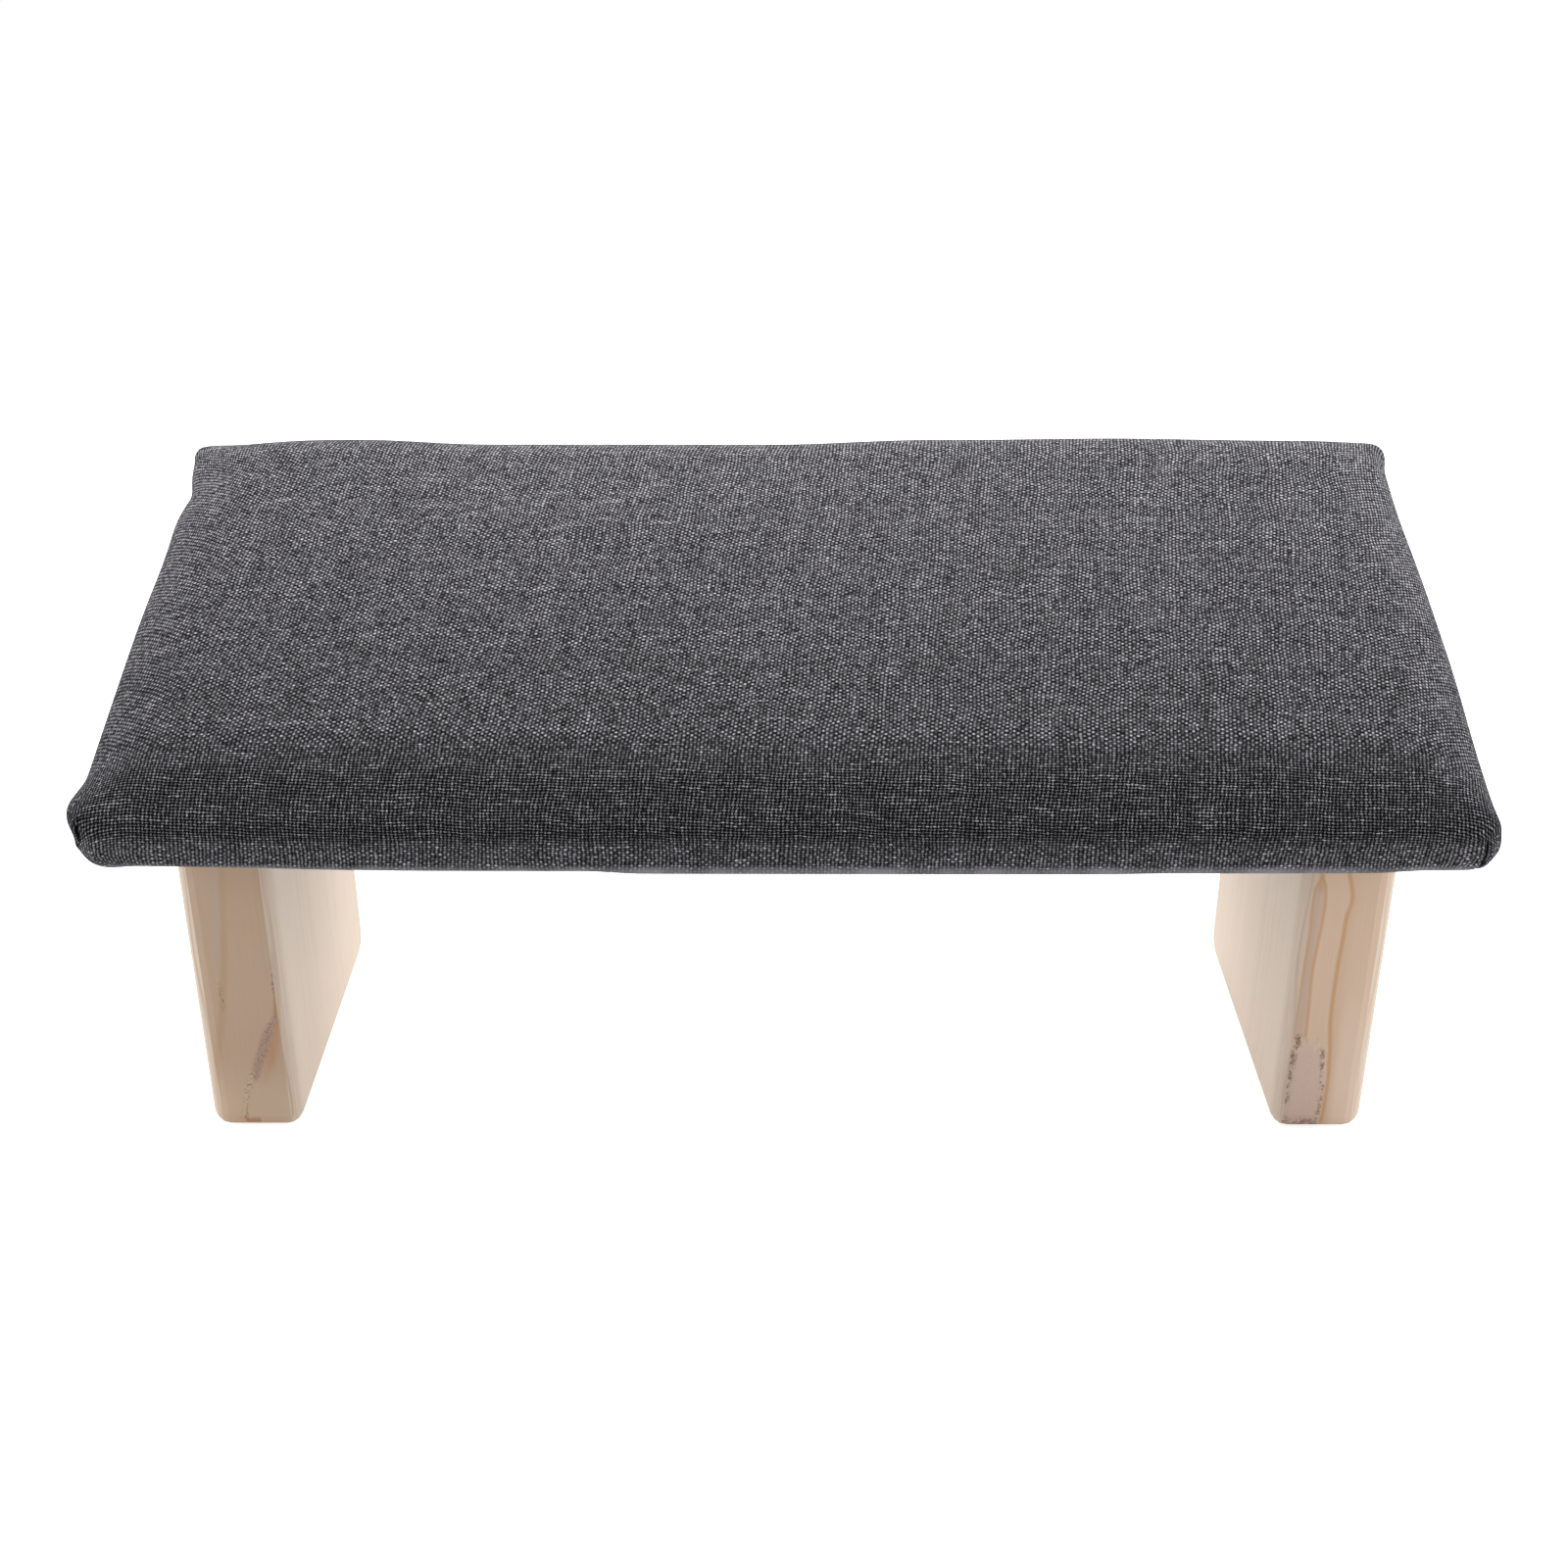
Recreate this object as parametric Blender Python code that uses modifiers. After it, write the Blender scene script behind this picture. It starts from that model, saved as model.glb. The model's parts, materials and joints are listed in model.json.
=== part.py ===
"""Folding kneeling bench: an upholstered seat on two plank legs that fold inwards on butt hinges.

Units are metres, +Z is up and the bench faces -Y. The origin is on the floor, under the middle of the
bench's box. Everything is laid out in the seat's own frame first: X to the right, Y to the back and
Z square to the seat, with Z = 0 at the underside that the leg tops close against. The seat frame is
then tilted forwards and lifted on to the legs.
"""
import math

import bmesh
import bpy
from mathutils import Matrix, Vector

# Clearance between pieces that touch
GAP = 0.0003

# Seat
SEAT_WIDTH = 0.420
SEAT_DEPTH = 0.226
SEAT_CORNER_RADIUS = 0.006
SEAT_TILT = math.radians(15.4)
BOARD_THICKNESS = 0.012
BOARD_INSET = 0.0042
BOARD_CORNER_RADIUS = 0.011
BOARD_EDGE_RADIUS = 0.003
FOAM_THICKNESS = 0.0163
FOAM_CROWN = 0.0018
FOAM_SIDE_HEIGHT = 0.0012
ROLL_RUN = 0.030
ROLL_POWER = 1.8
SIDE_DRAW_IN = 0.0012
SIDE_DRAW_IN_RISE = 0.5
SIDE_DRAW_IN_POWER = 4
CLOTH_THICKNESS = 0.001
CLOTH_EASE = 0.0008
HEM_WIDTH = 0.028
DUST_COVER_THICKNESS = 0.0008
DUST_COVER_INSET = 0.008
DUST_COVER_CORNER_RADIUS = 0.004

# Legs
LEG_THICKNESS = 0.029
LEG_DEPTH = 0.142
LEG_BACK_HEIGHT = 0.156
LEG_SIDE_INSET = 0.024
LEG_FRONT_INSET = 0.019
LEG_ARRIS_RADIUS = 0.0056
LEG_FRONT_FOOT_RADIUS = 0.0065
LEG_BACK_FOOT_RADIUS = 0.009

# Hinges
HINGE_LENGTH = 0.050
HINGE_NAMES = ("front", "back")
LEAF_WIDTH = 0.0185
LEAF_THICKNESS = 0.0015
LEAF_CORNER_RADIUS = 0.003
KNUCKLE_RADIUS = 0.003
KNUCKLE_COUNT = 5
PIN_RADIUS = 0.0015
PIN_HEAD_RADIUS = 0.0022
PIN_HEAD_HEIGHT = 0.0008
PIN_CLEARANCE = 0.0001
LEAF_SCREW_SPACING = 0.030

# Wood screws
SCREW_LENGTH = 0.013
SCREW_SHANK_RADIUS = 0.0014
SCREW_HEAD_RADIUS = 0.0028
SCREW_POINT_LENGTH = 0.003
SCREW_RECESS_WIDTH = 0.0008
SCREW_RECESS_SPAN = 0.0034
SCREW_RECESS_DEPTH = 0.0008

# Staples
STAPLE_CROWN = 0.010
STAPLE_LEG = 0.008
STAPLE_WIRE_RADIUS = 0.0004
STAPLE_EDGE_DISTANCE = 0.006
STAPLES_ALONG_WIDTH = 4
STAPLES_ALONG_DEPTH = 2

# Fineness of the round forms
ARC_STEPS = 4
BOARD_EDGE_STEPS = 2
ARRIS_STEPS = 4
ROUND_STEPS = 16
SMALL_ROUND_STEPS = 12
ROLL_STEPS = 4
CORNER_CROWDING = 1.6
TOP_COLUMN_STEPS = 4
TOP_ROW_STEPS = 2
WELD_DISTANCE = 0.000001
FLAT_ANGLE = math.radians(1)
EASED_EDGE_ANGLE = math.radians(40)
SHARP_ANGLE = math.radians(35)
CLOTH_SHARP_ANGLE = math.radians(60)

# Levels in the seat frame, from the underside up
HEM_LEVEL = DUST_COVER_THICKNESS + GAP
BOARD_LEVEL = HEM_LEVEL + CLOTH_THICKNESS + GAP
FOAM_LEVEL = BOARD_LEVEL + BOARD_THICKNESS + GAP
FOAM_EDGE_LEVEL = FOAM_LEVEL + FOAM_THICKNESS
CLOTH_SKIN = CLOTH_THICKNESS + CLOTH_EASE

# Places that the legs and hinges share
LEG_OUTER_X = SEAT_WIDTH / 2 - LEG_SIDE_INSET
LEG_INNER_X = LEG_OUTER_X - LEG_THICKNESS
LEG_FRONT_Y = LEG_FRONT_INSET - SEAT_DEPTH / 2
LEG_FRONT_HEIGHT = LEG_BACK_HEIGHT - LEG_DEPTH * math.tan(SEAT_TILT)
PIN_X = LEG_INNER_X - GAP - KNUCKLE_RADIUS
PIN_Z = -GAP - KNUCKLE_RADIUS
LEAF_SCREW_REACH = (LEAF_WIDTH + KNUCKLE_RADIUS + GAP) / 2
SEAT_HEIGHT_AT_ORIGIN = LEG_FRONT_HEIGHT * math.cos(SEAT_TILT) - LEG_FRONT_Y * math.sin(SEAT_TILT)


def clear_scene():
    for old in list(bpy.data.objects):
        bpy.data.objects.remove(old, do_unlink=True)


def collection(name):
    group = bpy.data.collections.new(name)
    bpy.context.scene.collection.children.link(group)
    return group


def material(name, color, roughness, metallic=0.0):
    made = bpy.data.materials.new(name)
    made.use_nodes = True
    shader = made.node_tree.nodes["Principled BSDF"]
    shader.inputs["Base Color"].default_value = (*color, 1.0)
    shader.inputs["Roughness"].default_value = roughness
    shader.inputs["Metallic"].default_value = metallic
    made.diffuse_color = (*color, 1.0)
    return made


def add_object(name, mesh, group, parent=None, location=(0, 0, 0), turn=None):
    made = bpy.data.objects.new(name, mesh)
    group.objects.link(made)
    made.parent = parent
    made.location = location
    if turn is not None:
        made.rotation_euler = turn
    return made


def set_smooth(mesh, angle=SHARP_ANGLE):
    mesh.shade_smooth()
    mesh.set_sharp_from_angle(angle=angle)


def evaluated_mesh(source):
    """The mesh that an object's curve or modifiers make, welded, with its flat faces whole."""
    bpy.context.view_layer.update()
    depsgraph = bpy.context.evaluated_depsgraph_get()
    mesh = bpy.data.meshes.new_from_object(source.evaluated_get(depsgraph))
    shape = bmesh.new()
    shape.from_mesh(mesh)
    bmesh.ops.remove_doubles(shape, verts=shape.verts, dist=WELD_DISTANCE)
    bmesh.ops.dissolve_limit(shape, angle_limit=FLAT_ANGLE, verts=shape.verts, edges=shape.edges)
    shape.to_mesh(mesh)
    shape.free()
    return mesh


def rounded_outline(corners):
    """Points round a polygon given anticlockwise as (x, y, corner radius)."""
    points = []
    for index, (x, y, radius) in enumerate(corners):
        here = Vector((x, y))
        before = Vector(corners[index - 1][:2])
        after = Vector(corners[(index + 1) % len(corners)][:2])
        to_before = (before - here).normalized()
        to_after = (after - here).normalized()
        if radius <= 0:
            points.append(here)
            continue
        half = math.acos(max(-1.0, min(1.0, to_before.dot(to_after)))) / 2
        middle = (to_before + to_after).normalized()
        centre = here + middle * radius / math.sin(half)
        start = here + to_before * radius / math.tan(half) - centre
        sweep = math.pi - 2 * half
        for step in range(ARC_STEPS + 1):
            turned = Matrix.Rotation(sweep * step / ARC_STEPS, 2) @ start
            points.append(centre + turned)
    return points


def plate_mesh(name, points, thickness):
    """A flat plate from an outline, centred on its thickness."""
    curve = bpy.data.curves.new(name, "CURVE")
    curve.dimensions = "2D"
    curve.fill_mode = "BOTH"
    curve.extrude = thickness / 2
    spline = curve.splines.new("POLY")
    spline.points.add(len(points) - 1)
    for spot, point in zip(spline.points, points):
        spot.co = (point[0], point[1], 0, 1)
    spline.use_cyclic_u = True
    holder = bpy.data.objects.new(name, curve)
    bpy.context.scene.collection.objects.link(holder)
    mesh = evaluated_mesh(holder)
    bpy.data.objects.remove(holder, do_unlink=True)
    bpy.data.curves.remove(curve)
    mesh.name = name
    return mesh


def turned_mesh(name, profile, steps):
    """A solid of revolution about Z from (radius, height) points, listed from the top down."""
    mesh = bpy.data.meshes.new(name)
    vertices = [(radius, 0, height) for radius, height in profile]
    edges = [(index, index + 1) for index in range(len(profile) - 1)]
    mesh.from_pydata(vertices, edges, [])
    holder = bpy.data.objects.new(name, mesh)
    bpy.context.scene.collection.objects.link(holder)
    spin = holder.modifiers.new("turn", "SCREW")
    spin.steps = steps
    spin.render_steps = steps
    spin.use_merge_vertices = True
    spin.merge_threshold = WELD_DISTANCE
    turned = evaluated_mesh(holder)
    bpy.data.objects.remove(holder, do_unlink=True)
    turned.name = name
    return turned


def cylinder_mesh(name, radius, low, high, steps):
    return turned_mesh(name, [(0, high), (radius, high), (radius, low), (0, low)], steps)


def box_mesh(name, low, high):
    shape = bmesh.new()
    bmesh.ops.create_cube(shape, size=1.0)
    size = Vector(high) - Vector(low)
    middle = (Vector(high) + Vector(low)) / 2
    bmesh.ops.scale(shape, vec=size, verts=shape.verts)
    bmesh.ops.translate(shape, vec=middle, verts=shape.verts)
    mesh = bpy.data.meshes.new(name)
    shape.to_mesh(mesh)
    shape.free()
    return mesh


def placed_copies(name, source, places):
    """One mesh that holds a copy of the source at each matrix."""
    shape = bmesh.new()
    for place in places:
        copy = source.copy()
        copy.transform(place)
        shape.from_mesh(copy)
        bpy.data.meshes.remove(copy)
    mesh = bpy.data.meshes.new(name)
    shape.to_mesh(mesh)
    shape.free()
    return mesh


def add_copies(name, mesh, places, group, parent):
    """One object at each matrix, numbered from 1, all sharing the mesh."""
    for number, place in enumerate(places, 1):
        add_object("%s_%d" % (name, number), mesh, group, parent, place.translation, place.to_euler())


def pierce(name, holes, targets, group, tools, parent):
    """Cuts the same holes out of each of the targets."""
    for target in targets:
        tool = add_object("%s_%s" % (name, target.name), holes, group, parent)
        combine(target, tool, "DIFFERENCE", tools)


def combine(target, tool, operation, tools):
    """A live Boolean; the tool goes with the cutters."""
    tool.hide_render = True
    tool.display_type = "WIRE"
    for group in list(tool.users_collection):
        group.objects.unlink(tool)
    tools.objects.link(tool)
    change = target.modifiers.new(operation.lower(), "BOOLEAN")
    change.object = tool
    change.operation = operation
    change.solver = "EXACT"


def roll_profile(inset, base, top):
    """Rings over the rolled edge: (inset, height) from the side up to the flat top."""
    run = ROLL_RUN - inset
    rings = []
    for step in range(ROLL_STEPS + 1):
        angle = math.pi / 2 * step / ROLL_STEPS
        along = run * (1 - math.cos(angle) ** (2 / ROLL_POWER))
        up = (top - base) * math.sin(angle) ** (2 / ROLL_POWER)
        rings.append((inset + along, base + up))
    return rings


def corner_offset(radius, reach, share):
    """A point near a rounded corner, as distances from the two sides.

    The share runs from 0, the middle of the arc, to 1, the reach along one side.
    """
    arc = radius * math.pi / 4
    length = arc + reach - radius
    travelled = share ** CORNER_CROWDING * length
    if travelled >= arc:
        return radius + travelled - arc, 0.0
    angle = math.pi / 4 + travelled / radius if radius > 0 else math.pi / 2
    return radius * (1 - math.cos(angle)), radius * (1 - math.sin(angle))


def wrapped_sheet(name, rings, radii, crown_top):
    """A sheet wrapped over a rounded block.

    rings are (inset, height) from the sheet's free edge to the flat top, and radii are their corner
    radii. The grid's outer lines become the rings and its middle the crowned top. The quads on the
    corners' mitre lines are split along them, so that every corner folds the same way.
    """
    last = len(rings) - 1
    columns = 2 * last + TOP_COLUMN_STEPS
    rows = 2 * last + TOP_ROW_STEPS
    half_x = SEAT_WIDTH / 2
    half_y = SEAT_DEPTH / 2
    top_x = half_x - rings[last][0]
    top_y = half_y - rings[last][0]

    def side(index, count):
        """Steps in from the nearer end, and which end that is."""
        return (index, -1) if index <= count - index else (count - index, 1)

    def place(column, row):
        steps_x, sign_x = side(column, columns)
        steps_y, sign_y = side(row, rows)
        ring = min(steps_x, steps_y, last)
        inset, height = rings[ring]
        reach = rings[last][0] - inset
        if steps_x <= last and steps_y <= last and ring < last:
            share = (max(steps_x, steps_y) - ring) / (last - ring)
            radius = min(radii[ring], max(reach, 0.0))
            along, across = corner_offset(radius, reach, share)
            x_in, y_in = (across, along) if steps_x <= steps_y else (along, across)
            x = sign_x * (half_x - inset - x_in)
            y = sign_y * (half_y - inset - y_in)
        else:
            x = -top_x + 2 * top_x * (column - last) / TOP_COLUMN_STEPS
            y = -top_y + 2 * top_y * (row - last) / TOP_ROW_STEPS
            if steps_x < last:
                x = sign_x * (half_x - inset)
            if steps_y < last:
                y = sign_y * (half_y - inset)
        rise = (height - FOAM_LEVEL) / (crown_top - FOAM_CROWN - FOAM_LEVEL)
        x, y = draw_in(x, y, max(0.0, min(rise / SIDE_DRAW_IN_RISE, 1.0)))
        if ring == last:
            bulge = (1 - (x / top_x) ** 2) * (1 - (y / top_y) ** 2)
            height = crown_top - FOAM_CROWN + FOAM_CROWN * max(bulge, 0.0)
        return x, y, height

    shape = bmesh.new()
    bmesh.ops.create_grid(shape, x_segments=columns, y_segments=rows, size=1.0)
    mitres = set()
    for vertex in shape.verts:
        column = round((vertex.co.x + 1) / 2 * columns)
        row = round((vertex.co.y + 1) / 2 * rows)
        if side(column, columns)[0] == side(row, rows)[0] <= last:
            mitres.add(vertex)
        vertex.co = place(column, row)
    for face in list(shape.faces):
        ends = [vertex for vertex in face.verts if vertex in mitres]
        if len(ends) == 2:
            bmesh.utils.face_split(face, *ends)
    mesh = bpy.data.meshes.new(name)
    shape.to_mesh(mesh)
    shape.free()
    return mesh


def draw_in(x, y, strength):
    """Pulls the soft sides in between the corners, most at the middle of each side."""
    share_x = min(abs(x) / (SEAT_WIDTH / 2), 1.0)
    share_y = min(abs(y) / (SEAT_DEPTH / 2), 1.0)
    pull = SIDE_DRAW_IN * strength
    new_x = x * (1 - pull / (SEAT_WIDTH / 2) * (1 - share_y ** SIDE_DRAW_IN_POWER))
    new_y = y * (1 - pull / (SEAT_DEPTH / 2) * (1 - share_x ** SIDE_DRAW_IN_POWER))
    return new_x, new_y


def make_cover(group, seat, cloth):
    """The upholstery cloth: over the foam, down the sides and turned under the board."""
    edge = BOARD_EDGE_RADIUS + CLOTH_SKIN
    side_top = FOAM_LEVEL + FOAM_SIDE_HEIGHT
    top = FOAM_EDGE_LEVEL + CLOTH_SKIN
    bend = edge * (1 - math.sqrt(0.5))
    rings = [
        (HEM_WIDTH, HEM_LEVEL),
        (edge, HEM_LEVEL),
        (bend, HEM_LEVEL + bend),
        (0.0, HEM_LEVEL + edge),
        (0.0, FOAM_LEVEL),
    ]
    rings += roll_profile(0.0, side_top, top)
    radii = [0.0] + [SEAT_CORNER_RADIUS - inset for inset, height in rings[1:5]]
    radii += [SEAT_CORNER_RADIUS] * (ROLL_STEPS + 1)
    mesh = wrapped_sheet("fabric_cover", rings, radii, top + FOAM_CROWN)
    mesh.materials.append(cloth)
    cover = add_object("fabric_cover", mesh, group, seat)
    wall = cover.modifiers.new("cloth", "SOLIDIFY")
    wall.thickness = CLOTH_THICKNESS
    wall.offset = -1
    wall.use_even_offset = True
    set_smooth(mesh, CLOTH_SHARP_ANGLE)
    return cover


def make_foam(group, seat, foam):
    """The foam block, cut a little larger than the board and rounded over by the cloth."""
    side_top = FOAM_LEVEL + FOAM_SIDE_HEIGHT
    rings = [(CLOTH_SKIN, FOAM_LEVEL)]
    rings += roll_profile(CLOTH_SKIN, side_top, FOAM_EDGE_LEVEL)
    radii = [SEAT_CORNER_RADIUS - CLOTH_SKIN]
    for step in range(ROLL_STEPS + 1):
        radii.append(SEAT_CORNER_RADIUS - CLOTH_SKIN * (1 - step / ROLL_STEPS))
    mesh = wrapped_sheet("foam_pad", rings, radii, FOAM_EDGE_LEVEL + FOAM_CROWN)
    shape = bmesh.new()
    shape.from_mesh(mesh)
    rim = [edge for edge in shape.edges if edge.is_boundary]
    bmesh.ops.holes_fill(shape, edges=rim)
    bmesh.ops.recalc_face_normals(shape, faces=shape.faces)
    shape.to_mesh(mesh)
    shape.free()
    mesh.materials.append(foam)
    set_smooth(mesh, CLOTH_SHARP_ANGLE)
    return add_object("foam_pad", mesh, group, seat)


def seat_outline(inset, radius):
    x = SEAT_WIDTH / 2 - inset
    y = SEAT_DEPTH / 2 - inset
    return rounded_outline([(-x, -y, radius), (x, -y, radius), (x, y, radius), (-x, y, radius)])


def make_board(group, seat, wood):
    points = seat_outline(BOARD_INSET, BOARD_CORNER_RADIUS)
    mesh = plate_mesh("seat_board", points, BOARD_THICKNESS)
    mesh.materials.append(wood)
    board = add_object("seat_board", mesh, group, seat, (0, 0, BOARD_LEVEL + BOARD_THICKNESS / 2))
    ease_edges(board, BOARD_EDGE_RADIUS, BOARD_EDGE_STEPS)
    return board


def ease_edges(target, radius, segments):
    """Rounds the edges between the faces, but not the steps of the round corners."""
    bevel = target.modifiers.new("eased_edges", "BEVEL")
    bevel.width = radius
    bevel.segments = segments
    bevel.limit_method = "ANGLE"
    bevel.angle_limit = EASED_EDGE_ANGLE


def make_dust_cover(group, seat, cloth):
    points = seat_outline(DUST_COVER_INSET, DUST_COVER_CORNER_RADIUS)
    mesh = plate_mesh("dust_cover", points, DUST_COVER_THICKNESS)
    mesh.materials.append(cloth)
    return add_object("dust_cover", mesh, group, seat, (0, 0, DUST_COVER_THICKNESS / 2))


def staple_places():
    """Where each staple's crown is centred, and its turn about Z."""
    inset = DUST_COVER_INSET + STAPLE_EDGE_DISTANCE
    x_line = SEAT_WIDTH / 2 - inset
    y_line = SEAT_DEPTH / 2 - inset
    places = []
    for index in range(STAPLES_ALONG_WIDTH):
        x = x_line * ((2 * index + 1) / STAPLES_ALONG_WIDTH - 1)
        places += [(x, -y_line, 0.0), (x, y_line, 0.0)]
    for index in range(STAPLES_ALONG_DEPTH):
        y = y_line * ((2 * index + 1) / STAPLES_ALONG_DEPTH - 1)
        places += [(-x_line, y, math.pi / 2), (x_line, y, math.pi / 2)]
    return [Matrix.Translation((x, y, 0)) @ Matrix.Rotation(turn, 4, "Z") for x, y, turn in places]


def staple_mesh():
    """A wire staple, its crown on the underside and its two legs going up."""
    curve = bpy.data.curves.new("staple", "CURVE")
    curve.dimensions = "3D"
    curve.bevel_depth = STAPLE_WIRE_RADIUS
    curve.bevel_resolution = 1
    curve.use_fill_caps = True
    low = -GAP - STAPLE_WIRE_RADIUS
    half = STAPLE_CROWN / 2
    ease = STAPLE_WIRE_RADIUS
    route = [
        (-half, low + STAPLE_LEG),
        (-half, low + ease),
        (-half + ease, low),
        (half - ease, low),
        (half, low + ease),
        (half, low + STAPLE_LEG),
    ]
    spline = curve.splines.new("POLY")
    spline.points.add(len(route) - 1)
    for spot, (x, z) in zip(spline.points, route):
        spot.co = (x, 0, z, 1)
    holder = bpy.data.objects.new("staple", curve)
    bpy.context.scene.collection.objects.link(holder)
    mesh = evaluated_mesh(holder)
    bpy.data.objects.remove(holder, do_unlink=True)
    return mesh


def make_staples(group, tools, seat, steel, pierced):
    """The staples, and their holes through the cloths and into the board."""
    places = staple_places()
    mesh = staple_mesh()
    mesh.materials.append(steel)
    add_copies("staple", mesh, places, group, seat)
    room = STAPLE_WIRE_RADIUS + GAP
    half = STAPLE_CROWN / 2
    for x, label in ((-half, "near"), (half, "far")):
        hole = box_mesh("staple_hole", (x - room, -room, -GAP), (x + room, room, STAPLE_LEG + GAP))
        holes = placed_copies("staple_holes", hole, places)
        pierce("%s_staple_holes" % label, holes, pierced, group, tools, seat)


def screw_mesh():
    """A countersunk wood screw, its head's face at Z = 0 and its point up."""
    sink = SCREW_HEAD_RADIUS - SCREW_SHANK_RADIUS
    profile = [
        (0, SCREW_LENGTH),
        (SCREW_SHANK_RADIUS, SCREW_LENGTH - SCREW_POINT_LENGTH),
        (SCREW_SHANK_RADIUS, sink),
        (SCREW_HEAD_RADIUS, 0),
        (0, 0),
    ]
    scene_group = bpy.context.scene.collection
    solid = add_object("screw_form", turned_mesh("screw", profile, SMALL_ROUND_STEPS), scene_group)
    half = SCREW_RECESS_SPAN / 2
    thin = SCREW_RECESS_WIDTH / 2
    cutters = []
    for x, y in ((half, thin), (thin, half)):
        slot = box_mesh("recess", (-x, -y, -SCREW_RECESS_DEPTH), (x, y, SCREW_RECESS_DEPTH))
        cutter = add_object("recess", slot, scene_group)
        change = solid.modifiers.new("recess", "BOOLEAN")
        change.object = cutter
        change.operation = "DIFFERENCE"
        change.solver = "EXACT"
        cutters.append(cutter)
    mesh = evaluated_mesh(solid)
    for used in (*cutters, solid):
        bpy.data.objects.remove(used, do_unlink=True)
    return mesh


def pilot_mesh():
    """The room that a screw needs in the wood and the cloth."""
    radius = SCREW_SHANK_RADIUS + GAP
    return cylinder_mesh("pilot", radius, -GAP, SCREW_LENGTH + GAP, SMALL_ROUND_STEPS)


def countersink_mesh():
    """The room that a screw needs in a leaf."""
    shank = SCREW_SHANK_RADIUS + GAP
    head = SCREW_HEAD_RADIUS + GAP
    sink = head - shank
    far = LEAF_THICKNESS + GAP
    profile = [(0, far), (shank, far), (shank, sink), (head, 0), (head, -GAP), (0, -GAP)]
    return turned_mesh("countersink", profile, SMALL_ROUND_STEPS)


def hinge_places():
    """Each hinge's name and its middle on Y, with equal spaces at the leg's ends and between them."""
    count = len(HINGE_NAMES)
    space = (LEG_DEPTH - count * HINGE_LENGTH) / (count + 1)
    first = LEG_FRONT_Y + space + HINGE_LENGTH / 2
    return [(name, first + index * (HINGE_LENGTH + space)) for index, name in enumerate(HINGE_NAMES)]


def leaf_screw_places():
    """The two screws of a leaf that lies along -X, with its seat at +Z."""
    face = KNUCKLE_RADIUS - LEAF_THICKNESS
    places = []
    for y in (-LEAF_SCREW_SPACING / 2, LEAF_SCREW_SPACING / 2):
        places.append(Matrix.Translation((-LEAF_SCREW_REACH, y, face)))
    return places


def make_leaf(name, first_knuckle, group, tools, steel):
    """A hinge leaf along -X from the pin on the Y axis, its flat seat at +Z.

    Every second knuckle from the first one given belongs to this leaf.
    """
    room = KNUCKLE_RADIUS + GAP
    pitch = HINGE_LENGTH / KNUCKLE_COUNT
    low = KNUCKLE_RADIUS - LEAF_THICKNESS
    half = HINGE_LENGTH / 2
    corner = LEAF_CORNER_RADIUS
    outline = rounded_outline([
        (-LEAF_WIDTH, -half, corner),
        (-room, -half, 0),
        (-room, half, 0),
        (-LEAF_WIDTH, half, corner),
    ])
    mesh = plate_mesh(name, outline, LEAF_THICKNESS)
    mesh.transform(Matrix.Translation((0, 0, low + LEAF_THICKNESS / 2)))
    mesh.materials.append(steel)
    leaf = add_object(name, mesh, group)
    lay_along_y = Matrix.Rotation(-math.pi / 2, 4, "X")
    for index in range(first_knuckle, KNUCKLE_COUNT, 2):
        start = -half + index * pitch + (GAP / 2 if index > 0 else 0)
        end = -half + (index + 1) * pitch - (GAP / 2 if index < KNUCKLE_COUNT - 1 else 0)
        barrel = cylinder_mesh("barrel", KNUCKLE_RADIUS, start, end, ROUND_STEPS)
        barrel.transform(lay_along_y)
        web = box_mesh("web", (-room - GAP, start, low), (0, end, KNUCKLE_RADIUS))
        for number, piece in enumerate((web, barrel)):
            tool = add_object("%s_knuckle_%d_%d" % (name, index, number), piece, group)
            combine(leaf, tool, "UNION", tools)
    bore = cylinder_mesh("bore", PIN_RADIUS + PIN_CLEARANCE, -half - GAP, half + GAP, ROUND_STEPS)
    bore.transform(lay_along_y)
    holes = placed_copies("screw_holes", countersink_mesh(), leaf_screw_places())
    for label, cut in (("bore", bore), ("screw_holes", holes)):
        tool = add_object("%s_%s" % (name, label), cut, group)
        combine(leaf, tool, "DIFFERENCE", tools)
    return leaf


def leaf_master_mesh(name, first_knuckle, group, tools, steel):
    leaf = make_leaf(name, first_knuckle, group, tools, steel)
    mesh = evaluated_mesh(leaf)
    for change in list(leaf.modifiers):
        used = change.object
        leaf.modifiers.remove(change)
        bpy.data.objects.remove(used, do_unlink=True)
    bpy.data.objects.remove(leaf, do_unlink=True)
    set_smooth(mesh)
    return mesh


def pin_mesh(steel):
    half = HINGE_LENGTH / 2 + GAP
    head = half + PIN_HEAD_HEIGHT
    profile = [
        (0, head),
        (PIN_HEAD_RADIUS, head),
        (PIN_HEAD_RADIUS, half),
        (PIN_RADIUS, half),
        (PIN_RADIUS, -half),
        (PIN_HEAD_RADIUS, -half),
        (PIN_HEAD_RADIUS, -head),
        (0, -head),
    ]
    mesh = turned_mesh("hinge_pin", profile, ROUND_STEPS)
    mesh.transform(Matrix.Rotation(-math.pi / 2, 4, "X"))
    mesh.materials.append(steel)
    set_smooth(mesh)
    return mesh


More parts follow.
